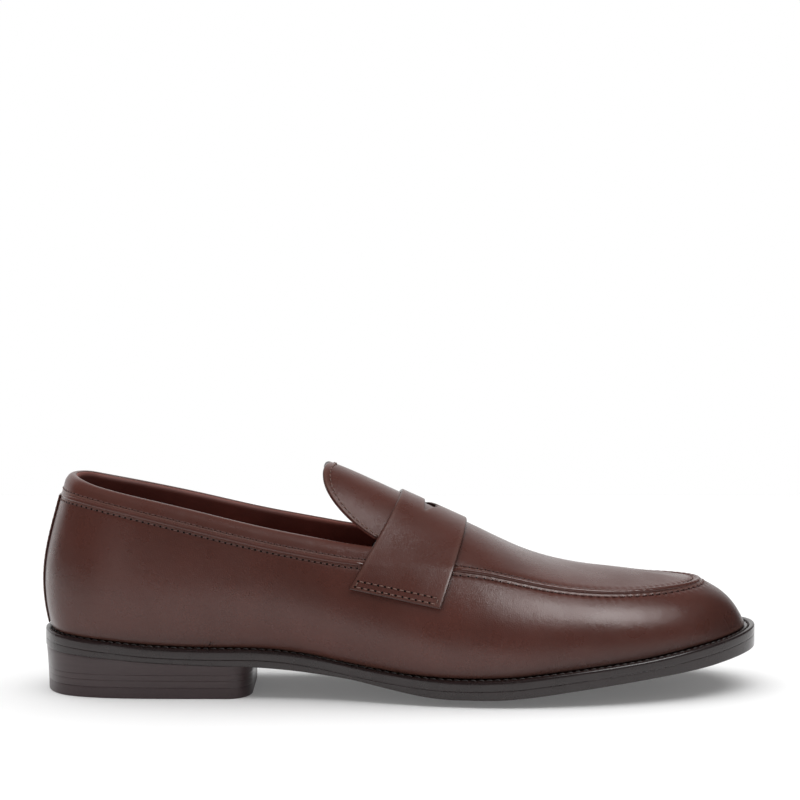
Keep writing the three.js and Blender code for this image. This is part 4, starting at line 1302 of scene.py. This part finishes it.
def make_outsole():
    columns = 480
    top = raised(-WELT_THICK - 0.02)
    shape = slab(lambda s: 0 * s, top, sole_bottom, SOLE_TOP_EDGE, SOLE_LOW_EDGE, columns)
    rings = shape.count // (columns + 1)
    under = len(INWARDS) + len(SOLE_TOP_EDGE) + len(SOLE_LOW_EDGE) - 3
    shape.finishes = [int(face[0] % rings >= under) for face in shape.faces]
    # painted reflection: a thin lighter line along the outsole's lower edge, next to its bottom face
    shape.values["edge"] = [np.where(np.arange(shape.count) % rings == under, 0.4, 0.0)]
    bends(make("outsole", shape, [EDGE, SOLE_FACE]), "outsole_rear", "outsole_toe")
    s = np.linspace(3.4, AROUND - 3.4, 2600)
    rows = sole_stitches(s, 7.5, sole_bottom, 0.14, -1, radius=0.36, lift=0.22)
    bends(make("outsole_stitches", rows, [WELT_THREAD, HOLE_SHADE], weld=0))


def footbed_inset(s):
    lean_in = np.maximum(0, -np.tan(wall_flare(s)))
    return wall_inset(s) + LEATHER + STIFFENER_ROOM + LINING + 1.5 + 6 * lean_in


def solid_cut(piece, cutter):
    """Cuts one closed mesh out of another, and removes the cutter."""
    cut = piece.modifiers.new("cut", "BOOLEAN")
    cut.operation = "DIFFERENCE"
    cut.solver = "EXACT"
    cut.object = cutter
    evaluated = piece.evaluated_get(bpy.context.evaluated_depsgraph_get())
    cut_mesh = bpy.data.meshes.new_from_object(evaluated)
    old = piece.data
    piece.modifiers.clear()
    piece.data = cut_mesh
    bpy.data.meshes.remove(old)
    bpy.data.objects.remove(cutter)


SHANK = (46.0, 150.0)
SHANK_HALF = 6.5
SLOT_HEIGHTS = (-1.9, 3.0)        # the shank's slot, from the welt's top face


def shank_slot():
    """Bar along the shank with its clearance, which cuts the slot."""
    x = np.linspace(SHANK[0] - GAP, SHANK[1] + GAP, 40)
    wide = SHANK_HALF + GAP
    low, high = SLOT_HEIGHTS
    corners = ((-wide, low), (wide, low), (wide, high), (-wide, high), (-wide, low))
    shape = wrapped([np.stack([x, 0 * x + y, welt_top(x, 0 * x) + z], -1) for y, z in corners])
    last = (len(x) - 1) * len(corners)
    shape.faces += [[3, 2, 1, 0], [last, last + 1, last + 2, last + 3]]
    shape.finishes += [0, 0]
    return make("shank_slot", shape, [CORK])


def make_inner_bottom():
    """Filler with the shank's slot, insole and sock."""
    small, soft = rounded(0.35, 3), rounded(0.55, 5)
    filler = slab(lambda s: 0 * s + WELT_WIDTH + 0.1, welt_top, raised(GAP - WELT_THICK), small, small, 240)
    piece = make("cork_filler", filler, [CORK])
    solid_cut(piece, shank_slot())
    bends(piece, "cork_filler_rear", "cork_filler_toe")

    insole = slab(footbed_inset, raised(LAYER_GAP + INSOLE_THICK), raised(LAYER_GAP), small, small, 240)
    bends(make("insole", insole, [MADE_BOARD]), "insole_rear", "insole_toe")
    sock = slab(footbed_inset, raised(SOCK_UNDER + SOCK_THICK), raised(SOCK_UNDER), soft, small, 300)
    piece = make("sock_liner", sock, [LINING_LEATHER])
    bends(piece, "sock_liner_rear", "sock_liner_toe")


# ---------------------------------------------------------------- heel
CORNER_START = 10.5               # the side turns into the breast over this length
CORNER_WIDE = 15.0
HEEL_CENTRE = np.array([44.0, 0.0])
NAILS = ((15, 0), (30, -19), (30, 18), (63, -20), (63, 17))
NAIL_HOLE = 1.32
PAD_FRONT = 72.0                  # the heel pad ends here, and this far in from the footbed's edge
PAD_INSET = 7.0
PAD_LOW = LAYER_GAP + 1.0
PAD_THICK = INSOLE_THICK - 1.0


def heel_plan(inset):
    """Closed plan of a heel layer: the sole's outline at the back, a straight breast, soft corners."""
    corner_x = HEEL_FRONT - CORNER_START
    s = np.linspace(0, 7, 700)
    outer_end, inner_end = (np.interp(corner_x, outline(side, inset)[:, 0], s) for side in (s, -s))
    back = outline(np.linspace(outer_end, -inner_end, 150), inset)[:, :2]
    front = HEEL_FRONT - inset + 0.9
    turns = []
    for start, side in ((back[-1], 1), (back[0], -1)):
        landing = np.array([front, start[1] - side * CORNER_WIDE])
        ahead = np.array([start[0] + 0.62 * (front - start[0]), start[1]])
        beside = np.array([front, start[1] - side * 0.45 * CORNER_WIDE])
        turns.append(bezier(start, ahead, beside, landing, np.linspace(0, 1, 17)[1:, None]))
    across = np.linspace(turns[0][-1], turns[1][-1], 13)[1:-1]
    return np.concatenate([back, turns[0], across, turns[1][::-1], back[:1]])


def heel_layer(low, high, low_inset, high_inset, radius):
    """One layer of the heel, between two heights that are functions of x and y."""
    rings = []

    def add_ring(inset, up, rise=0.0, shrink=0.0):
        plan = heel_plan(inset)
        plan = plan + (HEEL_CENTRE - plan) * shrink
        bottom, top = low(*plan.T), high(*plan.T)
        rings.append(np.column_stack([plan, bottom + (top - bottom) * up + rise]))

    for shrink in (1.0, 0.85, 0.6, 0.3):
        add_ring(low_inset + radius, 0, shrink=shrink)
    for extra, depth in rounded(radius, 4):
        add_ring(low_inset + extra, 0, depth)
    for up in (0.25, 0.5, 0.75):
        add_ring(low_inset + (high_inset - low_inset) * up, up)
    for extra, depth in rounded(radius, 4)[::-1]:
        add_ring(high_inset + extra, 1, -depth)
    for shrink in (0.3, 0.6, 0.85, 1.0):
        add_ring(high_inset + radius, 1, shrink=shrink)
    return wrapped(rings)


def flat(height):
    return lambda x, y: 0 * x + height


def nail_hole(x, y):
    around = circles(np.array([[1.0, 0, 0]]), np.array([[0, 1.0, 0]]), 25, closed=True)[0]
    section = ((0, -1), (NAIL_HOLE, -1), (NAIL_HOLE, 8), (0, 8))
    shape = wrapped([around * radius + np.array([x, y, z]) for radius, z in section])
    return make("nail_hole", shape, [RUBBER])


def make_heel():
    lift_one = TOP_PIECE_THICK + 0.02
    lift_two = lift_one + LIFT_THICK + GAP
    seat = lift_two + LIFT_THICK - 0.3
    shape = heel_layer(flat(0), flat(TOP_PIECE_THICK), 1.2, 1.1, 0.08)
    top_piece = make("heel_top_piece_visual", shape, [RUBBER])
    for x, y in NAILS:
        solid_cut(top_piece, nail_hole(x, y))
    rides(top_piece, "rear", "heel_top_piece")
    layers = (
        ("heel_lift_1", flat(lift_one), flat(lift_two - 0.015), 1.08, 1.0),
        ("heel_lift_2", flat(lift_two), flat(seat - 0.015), 0.99, 0.9),
        ("heel_seat_lift", flat(seat), lambda x, y: sole_bottom(x, y) - 0.02, 0.89, 0.3),
    )
    for node, *heights_and_insets in layers:
        layer = make(node + "_visual", heel_layer(*heights_and_insets, 0.04), [HEEL])
        rides(layer, "rear", node)


def make_heel_pad():
    """Foam pad under the heel of the sock, with soft edges."""
    s = np.linspace(0, AROUND, 241)
    base = footbed_inset(s) + PAD_INSET
    sections = [(share, 1.0) for share in INWARDS[::-1]] + [(0, 0.75), (0, 0.4), (0, 0.12)]
    sections += [(share, 0.0) for share in INWARDS]
    rings = []
    for share, up in sections:
        point = in_plan(s, base - (0.25 if 0 < up < 1 else 0), share)
        point[:, 0] = np.minimum(point[:, 0], PAD_FRONT)
        rings.append(at_height(point, welt_top, PAD_LOW + PAD_THICK * up))
    pad = make("heel_pad_visual", wrapped(rings), [FOAM])
    rides(pad, "rear", "heel_pad")


# ---------------------------------------------------------------- carried-over CAD nodes
def finish_carried():
    finishes = {"shank": STEEL, "heel_counter": BOARD, "toe_puff": BOARD}
    for k in range(len(NAILS)):
        finishes[f"heel_nail_{k + 1}"] = BRASS
    for node, material in finishes.items():
        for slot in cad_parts[node].material_slots:
            slot.material = material


# ---------------------------------------------------------------- camera, floor and light
CAMERA_DISTANCE = 1.1
CAMERA_HEIGHT = 0.215
CAMERA_DROP = 4.906               # degrees below the level
CAMERA_LENS = 118.54
FLOOR_HALF = 1.2
FLOOR_NEAR = -0.24
FLOOR_FAR = 0.65
SUN_STRENGTH = 2.9
SUN_ANGLE = 85
SUN_TILT = -9

# Brightness of the room by the ray that meets it: white for the camera; on diffuse surfaces bright
# along the horizon and dimmer above; in reflections dark in front of the shoe and white behind it
ROOM_HORIZON = 0.85
ROOM_ABOVE = 0.30
ROOM_FRONT = 0.08
ROOM_BACK = 0.88


def add_object(name, data):
    made = bpy.data.objects.new(name, data)
    bpy.context.scene.collection.objects.link(made)
    return made


def make_camera():
    data = bpy.data.cameras.new("camera")
    data.lens = CAMERA_LENS
    data.sensor_width = 36.0
    camera = add_object("camera", data)
    camera.location = (0, -CAMERA_DISTANCE, CAMERA_HEIGHT)
    camera.rotation_euler = (math.radians(90 - CAMERA_DROP), 0, 0)
    bpy.context.scene.camera = camera


def make_floor():
    mesh = bpy.data.meshes.new("floor")
    corners = [(-FLOOR_HALF, FLOOR_NEAR, 0), (FLOOR_HALF, FLOOR_NEAR, 0)]
    corners += [(FLOOR_HALF, FLOOR_FAR, 0), (-FLOOR_HALF, FLOOR_FAR, 0)]
    mesh.from_pydata(corners, [], [(0, 1, 2, 3)])
    mesh.materials.append(pale_floor("pale_floor"))
    floor = add_object("floor", mesh)
    floor.location.z = CAD_LOW.z


def add_softbox(name, place, aim, size, power, along):
    """Rectangular light seen in reflections; its second size lies along the given direction."""
    data = bpy.data.lights.new(name, "AREA")
    data.shape = "RECTANGLE"
    data.size, data.size_y = size
    data.energy = power
    back = (Vector(place) - Vector(aim)).normalized()
    second = (Vector(along) - Vector(along).dot(back) * back).normalized()
    turned = Matrix((second.cross(back), second, back)).transposed().to_4x4()
    light = add_object(name, data)
    light.matrix_world = Matrix.Translation(place) @ turned
    light.visible_diffuse = False


def make_backdrop():
    world = bpy.data.worlds.new("world")
    world.use_nodes = True
    tree = world.node_tree
    backdrop = tree.nodes["Background"]
    rays = tree.nodes.new("ShaderNodeLightPath")
    parts = tree.nodes.new("ShaderNodeSeparateXYZ")
    tree.links.new(tree.nodes.new("ShaderNodeTexCoord").outputs["Generated"], parts.inputs[0])

    def ramp(value, low, high, to_low, to_high):
        made = tree.nodes.new("ShaderNodeMapRange")
        sources = {"Value": value, "From Min": low, "From Max": high, "To Min": to_low, "To Max": to_high}
        for name, source in sources.items():
            if isinstance(source, bpy.types.NodeSocket):
                tree.links.new(source, made.inputs[name])
            else:
                made.inputs[name].default_value = source
        return made.outputs["Result"]

    behind = ramp(parts.outputs["X"], 0.25, 0.65, ROOM_BACK, ROOM_FRONT)
    mirrored = ramp(parts.outputs["Y"], 0.4, 0.7, ROOM_FRONT, behind)
    toe_side = ramp(parts.outputs["X"], 0.0, 0.8, ROOM_HORIZON, ROOM_ABOVE)
    diffuse = ramp(parts.outputs["Z"], 0.05, 0.45, toe_side, ROOM_ABOVE)
    unseen = ramp(rays.outputs["Is Glossy Ray"], 0, 1, diffuse, mirrored)
    tree.links.new(ramp(rays.outputs["Is Camera Ray"], 0, 1, unseen, 1.0), backdrop.inputs["Strength"])
    backdrop.inputs["Color"].default_value = rgb(1, 1, 1)
    bpy.context.scene.world = world


def make_light():
    bpy.context.scene.view_settings.view_transform = "Standard"
    make_backdrop()
    data = bpy.data.lights.new("sky", "SUN")
    data.energy = SUN_STRENGTH
    data.angle = math.radians(SUN_ANGLE)
    sky = add_object("sky", data)
    sky.rotation_euler = (math.radians(SUN_TILT), 0, 0)
    sky.visible_glossy = False
    add_softbox("key", (0.64, -0.61, 0.94), (0.03, 0, 0.04), (0.62, 0.72), 11.2, (-0.3, 0.75, 0.59))
    add_softbox("card", (-0.62, -1.3, 0.05), (-0.13, 0, 0.04), (0.22, 0.5), 0.5, (0, 0, 1))


make_camera()
make_floor()
make_light()
make_wall()
make_back_strip()
make_collar()
make_apron()
make_tongue()
make_strap()
make_strap_stitches()
make_linings()
make_welt()
make_outsole()
make_inner_bottom()
make_heel()
make_heel_pad()
finish_carried()
